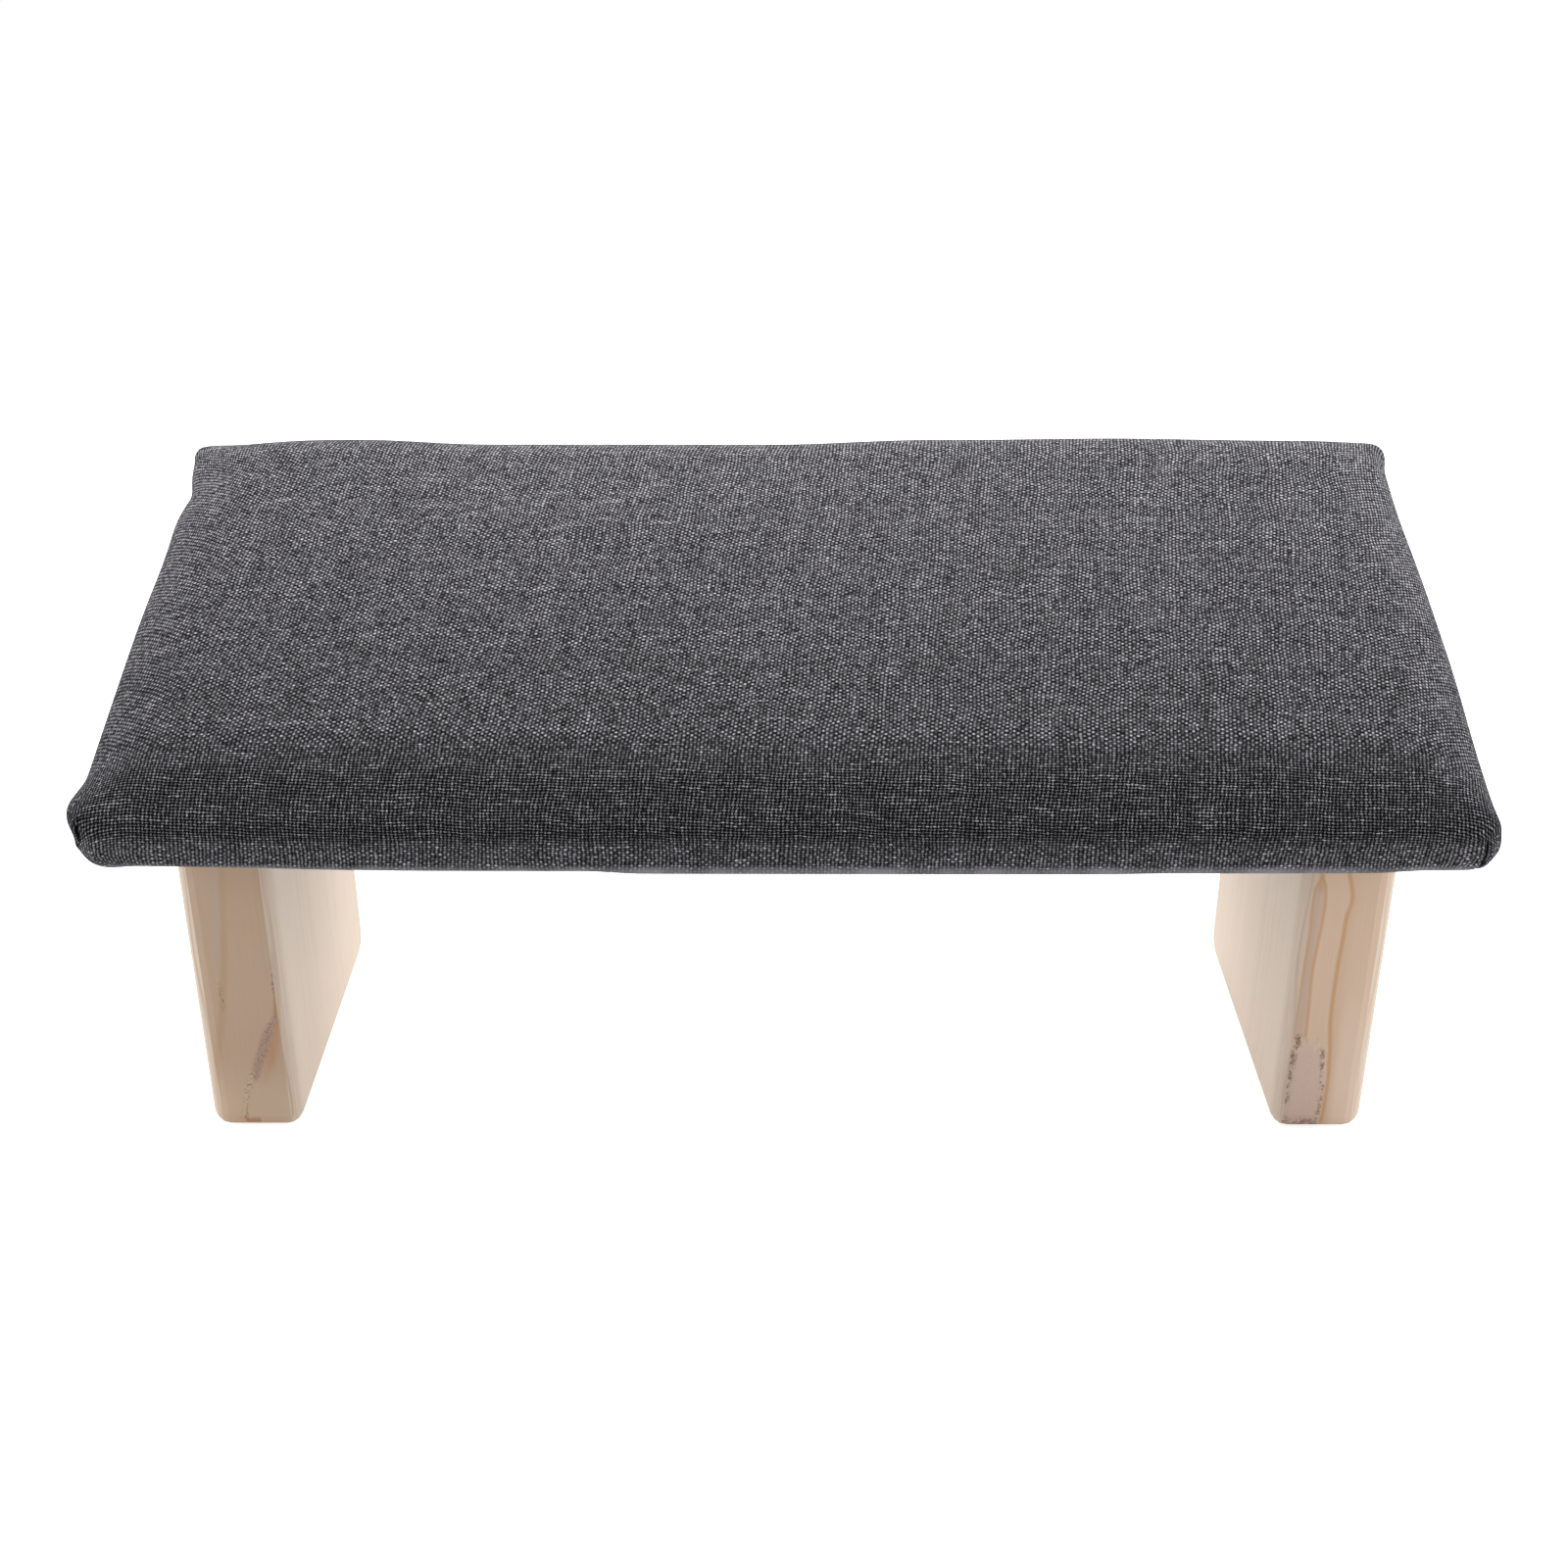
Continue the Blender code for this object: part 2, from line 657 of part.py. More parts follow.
def leg_mesh(side, wood):
    """A plank leg round its hinge axis: square at the top, cut on the slant at the foot."""
    top = -GAP - PIN_Z
    front = LEG_FRONT_Y
    back = LEG_FRONT_Y + LEG_DEPTH
    outline = rounded_outline([
        (front, top, 0),
        (front, -LEG_FRONT_HEIGHT - PIN_Z, LEG_FRONT_FOOT_RADIUS),
        (back, -LEG_BACK_HEIGHT - PIN_Z, LEG_BACK_FOOT_RADIUS),
        (back, top, 0),
    ])
    mesh = plate_mesh("leg", outline, LEG_THICKNESS)
    stand = Matrix(((0, 0, side, 0), (1, 0, 0, 0), (0, 1, 0, 0), (0, 0, 0, 1)))
    mesh.transform(stand)
    if side < 0:
        mesh.flip_normals()
    middle = (LEG_OUTER_X + LEG_INNER_X) / 2 - PIN_X
    mesh.transform(Matrix.Translation((side * middle, 0, 0)))
    mesh.materials.append(wood)
    return mesh


def make_leg(side, name, group, tools, axis, wood, screw):
    """One leg with its screws, on the empty that stands on its hinge axis."""
    leg = add_object("%s_leg" % name, leg_mesh(side, wood), group, axis)
    ease_edges(leg, LEG_ARRIS_RADIUS, ARRIS_STEPS)
    places = []
    for hinge, y in hinge_places():
        for place in leaf_screw_places():
            places.append(Matrix.Translation((0, y, 0)) @ hanging_turn(side) @ place)
    add_copies("%s_leg_screw" % name, screw, places, group, axis)
    pierce("pilots", placed_copies("pilots", pilot_mesh(), places), [leg], group, tools, axis)


def lying_turn(side):
    """Turns a leaf that lies along -X so that it lies inwards under the seat on this side."""
    return Matrix.Identity(4) if side > 0 else Matrix.Rotation(math.pi, 4, "Z")


def hanging_turn(side):
    """Turns a leaf that lies along -X so that it hangs down with its seat against the leg."""
    half_turn = Matrix(((0, 0, 1, 0), (0, -1, 0, 0), (1, 0, 0, 0), (0, 0, 0, 1)))
    return lying_turn(side) @ half_turn


def make_hinge(side, name, y, meshes, group, seat, axis):
    """A butt hinge: one leaf under the seat, one on the leg, and the pin."""
    seat_leaf, leg_leaf, pin = meshes
    lying = lying_turn(side).to_euler()
    hanging = hanging_turn(side).to_euler()
    pin_place = (side * PIN_X, y, PIN_Z)
    add_object("%s_seat_leaf" % name, seat_leaf, group, seat, pin_place, lying)
    add_object("%s_pin" % name, pin, group, seat, pin_place, lying)
    add_object("%s_leg_leaf" % name, leg_leaf, group, axis, (0, y, 0), hanging)


def make_seat_screws(group, tools, seat, screw, pierced):
    """The screws of the leaves under the seat, and their holes."""
    places = []
    for side in (-1, 1):
        for hinge, y in hinge_places():
            for place in leaf_screw_places():
                home = Matrix.Translation((side * PIN_X, y, PIN_Z))
                places.append(home @ lying_turn(side) @ place)
    add_copies("seat_screw", screw, places, group, seat)
    pierce("pilots", placed_copies("pilots", pilot_mesh(), places), pierced, group, tools, seat)


def centre_front_to_back(group, seat):
    """Slides the seat frame so that the middle of the bench's box is at Y = 0."""
    bpy.context.view_layer.update()
    depsgraph = bpy.context.evaluated_depsgraph_get()
    reach = []
    for made in group.objects:
        if made.type != "MESH":
            continue
        mesh = made.evaluated_get(depsgraph).data
        reach += [(made.matrix_world @ vertex.co).y for vertex in mesh.vertices]
    seat.location.y -= (min(reach) + max(reach)) / 2


def build():
    clear_scene()
    group = collection("folding_kneeling_bench")
    tools = collection("cutters")
    pine = material("pine", (0.72, 0.56, 0.40), 0.55)
    plywood = material("plywood", (0.66, 0.50, 0.33), 0.65)
    foam = material("foam", (0.80, 0.78, 0.68), 0.95)
    linen = material("linen_look_cloth", (0.075, 0.075, 0.080), 0.95)
    dust = material("dust_cloth", (0.018, 0.018, 0.019), 0.90)
    steel = material("zinc_steel", (0.62, 0.62, 0.60), 0.35, 1.0)
    wire = material("staple_steel", (0.66, 0.66, 0.66), 0.40, 1.0)

    seat = add_object("seat_frame", None, group)
    seat.rotation_euler = (SEAT_TILT, 0, 0)
    seat.location.z = SEAT_HEIGHT_AT_ORIGIN

    board = make_board(group, seat, plywood)
    make_foam(group, seat, foam)
    cover = make_cover(group, seat, linen)
    dust_cover = make_dust_cover(group, seat, dust)
    screw = screw_mesh()
    screw.materials.append(steel)
    make_seat_screws(group, tools, seat, screw, (dust_cover, board))
    make_staples(group, tools, seat, wire, (dust_cover, cover, board))

    seat_leaf = leaf_master_mesh("seat_leaf", 0, group, tools, steel)
    leg_leaf = leaf_master_mesh("leg_leaf", 1, group, tools, steel)
    meshes = (seat_leaf, leg_leaf, pin_mesh(steel))
    for side, name in ((-1, "left"), (1, "right")):
        axis = add_object("%s_hinge_axis" % name, None, group, seat, (side * PIN_X, 0, PIN_Z))
        make_leg(side, name, group, tools, axis, pine, screw)
        for hinge, y in hinge_places():
            make_hinge(side, "%s_%s_hinge" % (name, hinge), y, meshes, group, seat, axis)
    centre_front_to_back(group, seat)


build()
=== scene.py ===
"""The looks of a folding kneeling bench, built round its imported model.

Metres, +Z up, the bench faces -Y. Most pieces are shaped in the seat's own frame: X across, Y to the
back and Z square to the seat, with the origin under the middle of the upholstery.
"""
import json
import math

import bpy
import numpy as np
from mathutils import Matrix, Vector


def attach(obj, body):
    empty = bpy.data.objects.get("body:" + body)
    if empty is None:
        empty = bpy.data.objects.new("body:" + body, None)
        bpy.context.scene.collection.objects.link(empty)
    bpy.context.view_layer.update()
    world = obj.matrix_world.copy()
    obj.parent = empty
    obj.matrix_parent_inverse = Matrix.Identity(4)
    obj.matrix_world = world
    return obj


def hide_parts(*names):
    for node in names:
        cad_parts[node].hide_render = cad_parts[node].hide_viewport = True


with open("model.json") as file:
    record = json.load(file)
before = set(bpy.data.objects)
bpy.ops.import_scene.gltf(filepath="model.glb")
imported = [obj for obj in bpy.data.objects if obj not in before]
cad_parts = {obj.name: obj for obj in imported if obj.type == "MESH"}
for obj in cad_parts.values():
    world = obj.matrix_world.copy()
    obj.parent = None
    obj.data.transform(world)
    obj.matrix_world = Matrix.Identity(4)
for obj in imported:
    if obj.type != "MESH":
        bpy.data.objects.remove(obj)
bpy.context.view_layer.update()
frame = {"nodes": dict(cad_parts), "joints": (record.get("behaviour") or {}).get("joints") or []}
MM = 0.001

# The camera, in the seat's frame, for a square picture
CAMERA_PLACE = (0.0007, -0.7882, 0.5197)
CAMERA_PITCH = math.radians(35.76)
CAMERA_YAW = math.radians(-0.13)
PICTURE_SIDE = 1600
FOCAL_LENGTH_IN_PIXELS = 2943
SENSOR_WIDTH = 36

# The floor, the surround and the lamps: name, place, target, size and watts
FLOOR_SIDE = 60
FLOOR_LEVEL = -0.0002
FLOOR_COLOR = (0.86, 0.86, 0.86, 1)
FLOOR_GLOW = 0.745
SURROUND_LIGHT = 0.30
WHITE = (1, 1, 1, 1)
LAMPS = (
    ("overhead", (0.05, 0.5, 0.85), (0, 0.02, 0.15), (1.5, 0.6), 4.5),
    ("behind", (0.05, 0.75, 0.75), (0, 0.05, 0.15), (1.5, 0.6), 11),
    ("left", (-1.6, -0.5, 0.45), (0, 0, 0.1), (0.9, 0.7), 7.5),
    ("right", (1.6, -0.5, 0.45), (0, 0, 0.1), (0.9, 0.7), 8.5),
)

# The upholstery
CORNER_RADIUS = 6.0 * MM
CRISP_CORNER_RADIUS = 3.6 * MM
BOTTOM_EDGE_RADIUS = 2.6 * MM
SIDE_TOP = 14.4 * MM
ROLL_RUN = 30 * MM
ROLL_POWER = 1.8
CROWN = 1.8 * MM
CORNER_FULLNESS = 4.0
HEM_WIDTH = 26 * MM
CLOTH_THICKNESS = 0.9 * MM
ROLL_LINES = 40
TOP_SPACING = 4 * MM
WALL_LINES = 12
EDGE_LINES = 5
HEM_LINES = 9

# The foam inside it
FOAM_INSET = 1.4 * MM
FOAM_ROLL_LINES = 12
FOAM_WALL_LINES = 2
FOAM_SPACING = 9 * MM

# The dust cover under the seat
DUST_COVER_THICKNESS = 0.4 * MM
DUST_COVER_COLUMNS = 82
DUST_COVER_ROWS = 44
DUST_COVER_SAG = 1.2 * MM
HINGE_FREE_HALF = 125 * MM
EDGE_SAG = 0.4 * MM
EDGE_SAG_REACH = 14 * MM
STAPLE_REACH = 16 * MM
DUST_COVER_CLEARANCE = 0.05 * MM

# The weave
WARP_PITCH = 1.17 * MM
WEFT_PITCH = 0.92 * MM
TOP_SLANT = 0.10
FRONT_SLANT = 0.04
WEFT_SLANT = 0.03
WARP_SLUB = 0.12
WEFT_SLUB = 0.5
BEAD_GAP = 0.9
BEAD_POWER = 1.7
BEAD_LEVEL = 9.75
SUNK_SHARE = 0.25
SLACK_FRONT_SHARE = 1.62
# Painted shade: the top darker towards its front
FORE_SHADE_SHARE = 0.78
# Painted shade: the front wall darker
WALL_SHADE_SHARE = 0.68
# Painted light: the side slopes lighter, as sheen
SIDE_LIGHT_SHARE = 1.14
THREAD_POWER = 1.4
GRID_POWER = 2.4
# The pale band along the bottom edge: the cloth's fuzz, and painted light where it turns under
FUZZ_AND_FLOOR_LIGHT_SHARE = 0.8
FUZZ_AND_FLOOR_LIGHT_VALUE = 0.42
GRID_LEVEL = 8.1
SLOW_WAVER = 2.5
QUICK_WAVER = 0.7
LONG_TONE = 9 * MM
SHORT_TONE = 1.9 * MM
LONG_TONE_SHARE = 0.4
SHORT_TONE_SHARE = 0.8
THREAD_SHARE = 0.12

# Where the weave, and its painted light and shade, change on the seat, in millimetres in its frame: from one
# place to the next
FRONT_FACE = (-92, -78)
FRONT_STRETCH = (-104, -83)
BACK_STRETCH = (97, 108)
SLACK_HEIGHT = (9, 16)
WALL_HEIGHT = (13, 25)
TOP_SHADE_FADE = (-80, 70)
SIDE_SLOPE = (186, 200)
FUZZ_AND_FLOOR_LIGHT_HEIGHT = (2.0, 5.0)
FUZZ_AND_FLOOR_LIGHT_DEPTH = (-112, -106)

# The legs' wood
RING_PITCH = 1.3 * MM
RING_DRIFT = 5.0
BROAD_COLORS = (0.905, 0.75, 0.615, 1), (0.94, 0.785, 0.65, 1)
BROAD_LINE_COLOR = (0.60, 0.41, 0.27, 1)
# Painted shade on the legs' narrow faces away from the front, which the lamp behind lights strongly
SHADED_BACK_COLORS = (0.54, 0.395, 0.28, 1), (0.57, 0.415, 0.295, 1)
# The legs' fronts: browner than the broad faces partly in the wood's tone and partly in painted shade; the
# left darker than the right in painted shade
LEFT_FRONT_TONE_AND_SHADE = (0.56, 0.405, 0.29)
RIGHT_FRONT_TONE_AND_SHADE = (0.73, 0.535, 0.395)
SHADE_SPREAD = (0.985, 1.02)
SPECK_COLOR = (0.27, 0.15, 0.085, 1)
# Painted light that brightens both legs' fronts
FRONT_PAINTED_LIGHT = (1.27, 1.27, 1.27, 1)
FRONT_EDGE = (3.0, 4.5)

# The range of a curve's results, in millimetres
PATH_RANGE = 40


def seat_place():
    """The matrix of the seat's frame, and the upholstery's size in it."""
    joint = next(j for j in frame["joints"] if j["name"] == "right_leg_fold")
    depth = Vector(joint["axis"]).normalized()
    across = Vector((1, 0, 0))
    turn = Matrix((across, depth, across.cross(depth))).transposed().to_4x4()
    back = turn.inverted()
    points = np.array([back @ v.co for v in frame["nodes"]["fabric_cover"].data.vertices])
    low = points.min(0)
    high = points.max(0)
    origin = Vector(((low[0] + high[0]) / 2, (low[1] + high[1]) / 2, low[2]))
    return Matrix.Translation(turn @ origin) @ turn, high - low


SEAT, COVER_SIZE = seat_place()


def seat_box(node):
    """Lowest and highest corner of a CAD node in the seat's frame."""
    back = SEAT.inverted()
    points = np.array([back @ v.co for v in frame["nodes"][node].data.vertices])
    return points.min(0), points.max(0)


LEG_FRONT_Y = seat_box("right_leg")[0][1]
LEG_OUTER_X = seat_box("right_leg")[1][0]


class Nodes:
    """Short calls that build one material. A number can stand wherever a socket can."""

    def __init__(self, name):
        self.material = bpy.data.materials.new(name)
        self.material.use_nodes = True
        self.tree = self.material.node_tree
        self.shader = self.tree.nodes["Principled BSDF"]

    def put(self, socket, value):
        if isinstance(value, bpy.types.NodeSocket):
            self.tree.links.new(value, socket)
        else:
            socket.default_value = value

    def add(self, kind, inputs, **settings):
        node = self.tree.nodes.new("ShaderNode" + kind)
        for key, value in settings.items():
            setattr(node, key, value)
        for key, value in inputs.items():
            self.put(node.inputs[key], value)
        return node

    def math(self, operation, *values):
        return self.add("Math", dict(enumerate(values)), operation=operation).outputs[0]

    def vector(self, x, y, z=0.0):
        return self.add("CombineXYZ", {0: x, 1: y, 2: z}).outputs[0]

    def split(self, vector):
        return self.add("SeparateXYZ", {0: vector}).outputs

    def noise(self, place, scale, detail=2.0, roughness=0.5):
        inputs = {"Vector": place, "Scale": scale, "Detail": detail, "Roughness": roughness}
        return self.add("TexNoise", inputs).outputs["Fac"]

    def noise_pair(self, place, scale, detail=1.0):
        """Two values that vary by themselves, each about 0."""
        noise = self.add("TexNoise", {"Vector": place, "Scale": scale, "Detail": detail})
        parts = self.add("SeparateColor", {0: noise.outputs["Color"]}).outputs
        return self.math("SUBTRACT", parts[0], 0.5), self.math("SUBTRACT", parts[1], 0.5)

    def random(self, value):
        """A fixed random value for each whole number."""
        return self.add("TexWhiteNoise", {"W": value}, noise_dimensions="1D").outputs["Value"]

    def random_cell(self, column, row):
        """A fixed random value for each cell of a grid."""
        place = self.vector(column, row)
        return self.add("TexWhiteNoise", {"Vector": place}, noise_dimensions="2D").outputs["Value"]

    def fit(self, value, low, high, to_low=0.0, to_high=1.0, smooth=True):
        kind = "SMOOTHSTEP" if smooth else "LINEAR"
        inputs = {"Value": value, "From Min": low, "From Max": high, "To Min": to_low, "To Max": to_high}
        return self.add("MapRange", inputs, interpolation_type=kind).outputs["Result"]

    def mix(self, share, first, second, blend="MIX"):
        inputs = {"Factor": share, "A": first, "B": second}
        node = self.tree.nodes.new("ShaderNodeMix")
        node.data_type = "RGBA"
        node.blend_type = blend
        sockets = [s for s in node.inputs if s.enabled]
        for socket in sockets:
            self.put(socket, inputs[socket.name])
        return next(s for s in node.outputs if s.enabled)

    def path(self, value, points):
        """The second number of the points as a smooth curve over the first, held at its ends."""
        low = points[0][0]
        high = points[-1][0]
        place = self.fit(value, low, high, smooth=False)
        node = self.add("FloatCurve", {"Factor": 1.0, "Value": place})
        curve = node.mapping.curves[0]
        for index, (along, result) in enumerate(points):
            spot = ((along - low) / (high - low), result / PATH_RANGE)
            if index == 0:
                curve.points[0].location = spot
            elif index == len(points) - 1:
                curve.points[-1].location = spot
            else:
                curve.points.new(*spot)
        node.mapping.update()
        return self.math("MULTIPLY", node.outputs[0], PATH_RANGE)

    def grey(self, value):
        return self.add("CombineColor", {0: value, 1: value, 2: value}).outputs[0]

    def bump(self, height, distance, strength=1.0, before=None):
        inputs = {"Height": height, "Distance": distance, "Strength": strength}
        if before is not None:
            inputs["Normal"] = before
        return self.add("Bump", inputs).outputs["Normal"]

    def seat_coordinates(self):
        """Places in the seat's frame, in millimetres, which go with the piece when it moves."""
        place = self.add("TexCoord", {}).outputs["Object"]
        back = Matrix.Scale(1 / MM, 4) @ SEAT.inverted()
        location, turn, scale = back.decompose()
        inputs = {"Vector": place, "Location": location, "Rotation": turn.to_euler(), "Scale": scale}
        return self.add("Mapping", inputs).outputs[0]

    def finish(self, color, roughness, normal=None, **values):
        self.put(self.shader.inputs["Base Color"], color)
        self.put(self.shader.inputs["Roughness"], roughness)
        if normal is not None:
            self.put(self.shader.inputs["Normal"], normal)
        for name, value in values.items():
            self.put(self.shader.inputs[name.replace("_", " ")], value)
        return self.material


# Materials
def thread_tone(nodes, number, along, seed, slub):
    """The light and dark stretches along each thread, and its thick, pale slubs."""
    row = nodes.math("MULTIPLY_ADD", number, 5.37, seed)
    long_tone = nodes.noise(nodes.vector(row, nodes.math("DIVIDE", along, LONG_TONE)), 1.0, 1.0)
    short_tone = nodes.noise(nodes.vector(row, nodes.math("DIVIDE", along, SHORT_TONE), 3.1), 1.0, 1.0)
    tone = nodes.math("MULTIPLY_ADD", nodes.math("SUBTRACT", long_tone, 0.5), LONG_TONE_SHARE, 0.5)
    tone = nodes.math("MULTIPLY_ADD", nodes.math("SUBTRACT", short_tone, 0.5), SHORT_TONE_SHARE, tone)
    tone = nodes.math("MULTIPLY_ADD", nodes.math("SUBTRACT", nodes.random(row), 0.5), THREAD_SHARE, tone)
    return nodes.math("MULTIPLY_ADD", nodes.fit(long_tone, 0.57, 0.68), slub, tone)


def half_wave(nodes, value, turns):
    """The cosine of so many half turns a thread, 1 on the middle of each even thread."""
    return nodes.math("COSINE", nodes.math("MULTIPLY", value, math.pi * turns))


def woven_threads(nodes, stretch):
    """The weave's tone, brightness and height, from the cloth's own coordinates. Slack, it shows the
    crests of the weft as beads; stretched, it shows a grid of threads with holes between them."""
    cloth = nodes.add("UVMap", {}, uv_map="cloth").outputs[0]
    u, v = nodes.split(cloth)[:2]
    slow_a, slow_b = nodes.noise_pair(cloth, 45)
    quick_a, quick_b = nodes.noise_pair(cloth, 450, 2.0)
    on_top = nodes.math("MAXIMUM", v, -COVER_SIZE[1] / 2)
    leant = nodes.math("MULTIPLY_ADD", on_top, FRONT_SLANT - TOP_SLANT, u)
    leant = nodes.math("MULTIPLY_ADD", v, -FRONT_SLANT, leant)
    a = nodes.math("DIVIDE", leant, WARP_PITCH)
    b = nodes.math("DIVIDE", nodes.math("MULTIPLY_ADD", u, WEFT_SLANT, v), WEFT_PITCH)
    a = nodes.math("MULTIPLY_ADD", quick_a, QUICK_WAVER, nodes.math("MULTIPLY_ADD", slow_a, SLOW_WAVER, a))
    b = nodes.math("MULTIPLY_ADD", quick_b, QUICK_WAVER, nodes.math("MULTIPLY_ADD", slow_b, SLOW_WAVER, b))
    warp_number = nodes.math("ROUND", a)
    weft_number = nodes.math("ROUND", b)
    warp_tone = thread_tone(nodes, warp_number, v, 11.0, WARP_SLUB)
    weft_tone = thread_tone(nodes, weft_number, u, 47.0, WEFT_SLUB)
    cell = nodes.random_cell(warp_number, weft_number)
    column = nodes.math("MULTIPLY_ADD", half_wave(nodes, a, 2), 0.5, 0.5)
    row = nodes.math("MULTIPLY_ADD", half_wave(nodes, b, 2), 0.5, 0.5)
    crossing = nodes.math("MULTIPLY", half_wave(nodes, a, 1), half_wave(nodes, b, 1))
    crest = nodes.math("MULTIPLY_ADD", crossing, 0.5, 0.5)
    apart = nodes.math("MULTIPLY_ADD", column, BEAD_GAP, 1 - BEAD_GAP)
    beads = nodes.math("MULTIPLY", nodes.math("POWER", crest, BEAD_POWER), apart)
    beads = nodes.math("MULTIPLY", beads, nodes.fit(cell, 0.0, 0.3, 0.3, 1.0, smooth=False))
    sunk = nodes.math("POWER", nodes.math("SUBTRACT", 1.0, crest), BEAD_POWER)
    sunk_share = nodes.fit(cell, 0.3, 1.0, 0.0, SUNK_SHARE)
    sunk = nodes.math("MULTIPLY", nodes.math("MULTIPLY", sunk, row), sunk_share)
    beads = nodes.math("ADD", beads, sunk)
    open_x = nodes.math("POWER", nodes.math("SUBTRACT", 1.0, column), 0.8)
    open_y = nodes.math("POWER", nodes.math("SUBTRACT", 1.0, row), 1.1)
    solid = nodes.math("SUBTRACT", 1.0, nodes.math("MULTIPLY", open_x, open_y))
    wefts = nodes.math("MULTIPLY", nodes.math("POWER", row, THREAD_POWER), crest)
    under = nodes.math("SUBTRACT", 1.0, crest)
    warps = nodes.math("MULTIPLY", nodes.math("POWER", column, THREAD_POWER), under)
    grid = nodes.math("POWER", nodes.math("ADD", wefts, warps), GRID_POWER)
    grid = nodes.math("MULTIPLY", grid, nodes.fit(cell, 0.0, 1.0, 0.68, 1.2, smooth=False))
    over = nodes.math("MULTIPLY", crossing, nodes.math("MULTIPLY", column, row))
    share = nodes.math("SUBTRACT", nodes.math("SUBTRACT", column, row), over)
    share = nodes.fit(share, -1.0, 1.0, smooth=False)
    tone = nodes.math("MULTIPLY_ADD", nodes.math("SUBTRACT", warp_tone, weft_tone), share, weft_tone)
    slack_level = nodes.math("MULTIPLY", beads, BEAD_LEVEL)
    change = nodes.math("SUBTRACT", nodes.math("MULTIPLY", grid, GRID_LEVEL), slack_level)
    level = nodes.math("MULTIPLY_ADD", change, stretch, slack_level)
    height = nodes.math("MULTIPLY_ADD", nodes.math("SUBTRACT", solid, crest), stretch, crest)
    blotch = nodes.noise(cloth, 900, 1.0)
    level = nodes.math("MULTIPLY", level, nodes.fit(blotch, 0.30, 0.70, 0.5, 1.5, smooth=False))
    return cloth, tone, level, height


def linen_material():
    """A coarse plain weave of mottled grey yarns, with painted shade and painted light in its brightness."""
    nodes = Nodes("linen_weave")
    x, y, z = nodes.split(nodes.seat_coordinates())
    at_front = nodes.fit(y, *FRONT_FACE, 1.0, 0.0)
    rolled = nodes.math("ADD", nodes.fit(y, *FRONT_STRETCH, 1.0, 0.0), nodes.fit(y, *BACK_STRETCH))
    stretch = nodes.math("MULTIPLY", rolled, nodes.fit(z, *SLACK_HEIGHT, 0.5, 1.0))
    cloth, tone, level, height = woven_threads(nodes, stretch)
    # Painted shade on the front wall, over this mask.
    wall = nodes.math("MULTIPLY", nodes.fit(z, *WALL_HEIGHT, 1.0, 0.0), at_front)
    slack_front = nodes.math("MULTIPLY", nodes.fit(z, *SLACK_HEIGHT, 1.0, 0.0), at_front)
    # Painted shade: the top darker towards its front.
    level = nodes.math("MULTIPLY", level, nodes.fit(y, *TOP_SHADE_FADE, FORE_SHADE_SHARE, 1.0, smooth=False))
    level = nodes.math("MULTIPLY", level, nodes.fit(wall, 0.0, 1.0, 1.0, WALL_SHADE_SHARE))
    # Painted light: the side slopes lighter, as sheen.
    from_middle = nodes.math("ABSOLUTE", x)
    level = nodes.math("MULTIPLY", level, nodes.fit(from_middle, *SIDE_SLOPE, 1.0, SIDE_LIGHT_SHARE))
    level = nodes.math("MULTIPLY", level, nodes.fit(slack_front, 0.0, 1.0, 1.0, SLACK_FRONT_SHARE))
    yarn = nodes.math("POWER", nodes.math("MAXIMUM", tone, 0.02), 1.4)
    yarn = nodes.math("MULTIPLY_ADD", yarn, 0.18, 0.003)
    fibres = nodes.noise(cloth, 6000, 1.0)
    yarn = nodes.math("MULTIPLY", yarn, nodes.fit(fibres, 0.3, 0.7, 0.75, 1.25, smooth=False))
    value = nodes.math("MINIMUM", nodes.math("MULTIPLY_ADD", yarn, level, 0.002), 0.8)
    # The pale band along the bottom edge: the cloth's fuzz, and painted light where it turns under towards
    # the floor.
    fuzz = nodes.fit(nodes.noise(nodes.vector(x, 0.0), 0.06, 2.0), 0.35, 0.65, 0.4, 1.1)
    low = nodes.fit(z, *FUZZ_AND_FLOOR_LIGHT_HEIGHT, FUZZ_AND_FLOOR_LIGHT_SHARE, 0.0)
    fuzz_and_floor_light = nodes.math("MULTIPLY", low, nodes.fit(y, *FUZZ_AND_FLOOR_LIGHT_DEPTH, 1.0, 0.0))
    fuzz_and_floor_light = nodes.math("MULTIPLY", fuzz_and_floor_light, fuzz)
    value = nodes.math("MULTIPLY_ADD", nodes.math("SUBTRACT", FUZZ_AND_FLOOR_LIGHT_VALUE, value), fuzz_and_floor_light, value)
    color = nodes.mix(1.0, nodes.grey(value), (0.99, 0.965, 1.04, 1.0), "MULTIPLY")
    # Painted shade on the strip beside each slit, and a painted shadow in the slit itself.
    away, reached, shade = nodes.split(nodes.add("Attribute", {}, attribute_name="fold").outputs["Vector"])
    outside = nodes.fit(away, -0.4, 0.0, 1.0, 0.0)
    shaded = nodes.math("MULTIPLY", nodes.math("MULTIPLY", shade, reached), outside)
    color = nodes.mix(shaded, color, (0.012, 0.012, 0.013, 1.0))
    off_middle = nodes.math("ABSOLUTE", nodes.math("SUBTRACT", away, 0.12))
    crease_shadow = nodes.math("MULTIPLY", nodes.fit(off_middle, 0.10, 0.40, 1.0, 0.0), reached)
    color = nodes.mix(nodes.math("MULTIPLY", crease_shadow, 0.95), color, (0.002, 0.002, 0.002, 1.0))
    normal = nodes.bump(height, 0.22 * MM, 0.7)
    return nodes.finish(
        color, 0.92, normal,
        Sheen_Weight=0.02, Sheen_Roughness=0.35, Sheen_Tint=(0.9, 0.9, 0.93, 1.0), Specular_IOR_Level=0.02,
    )


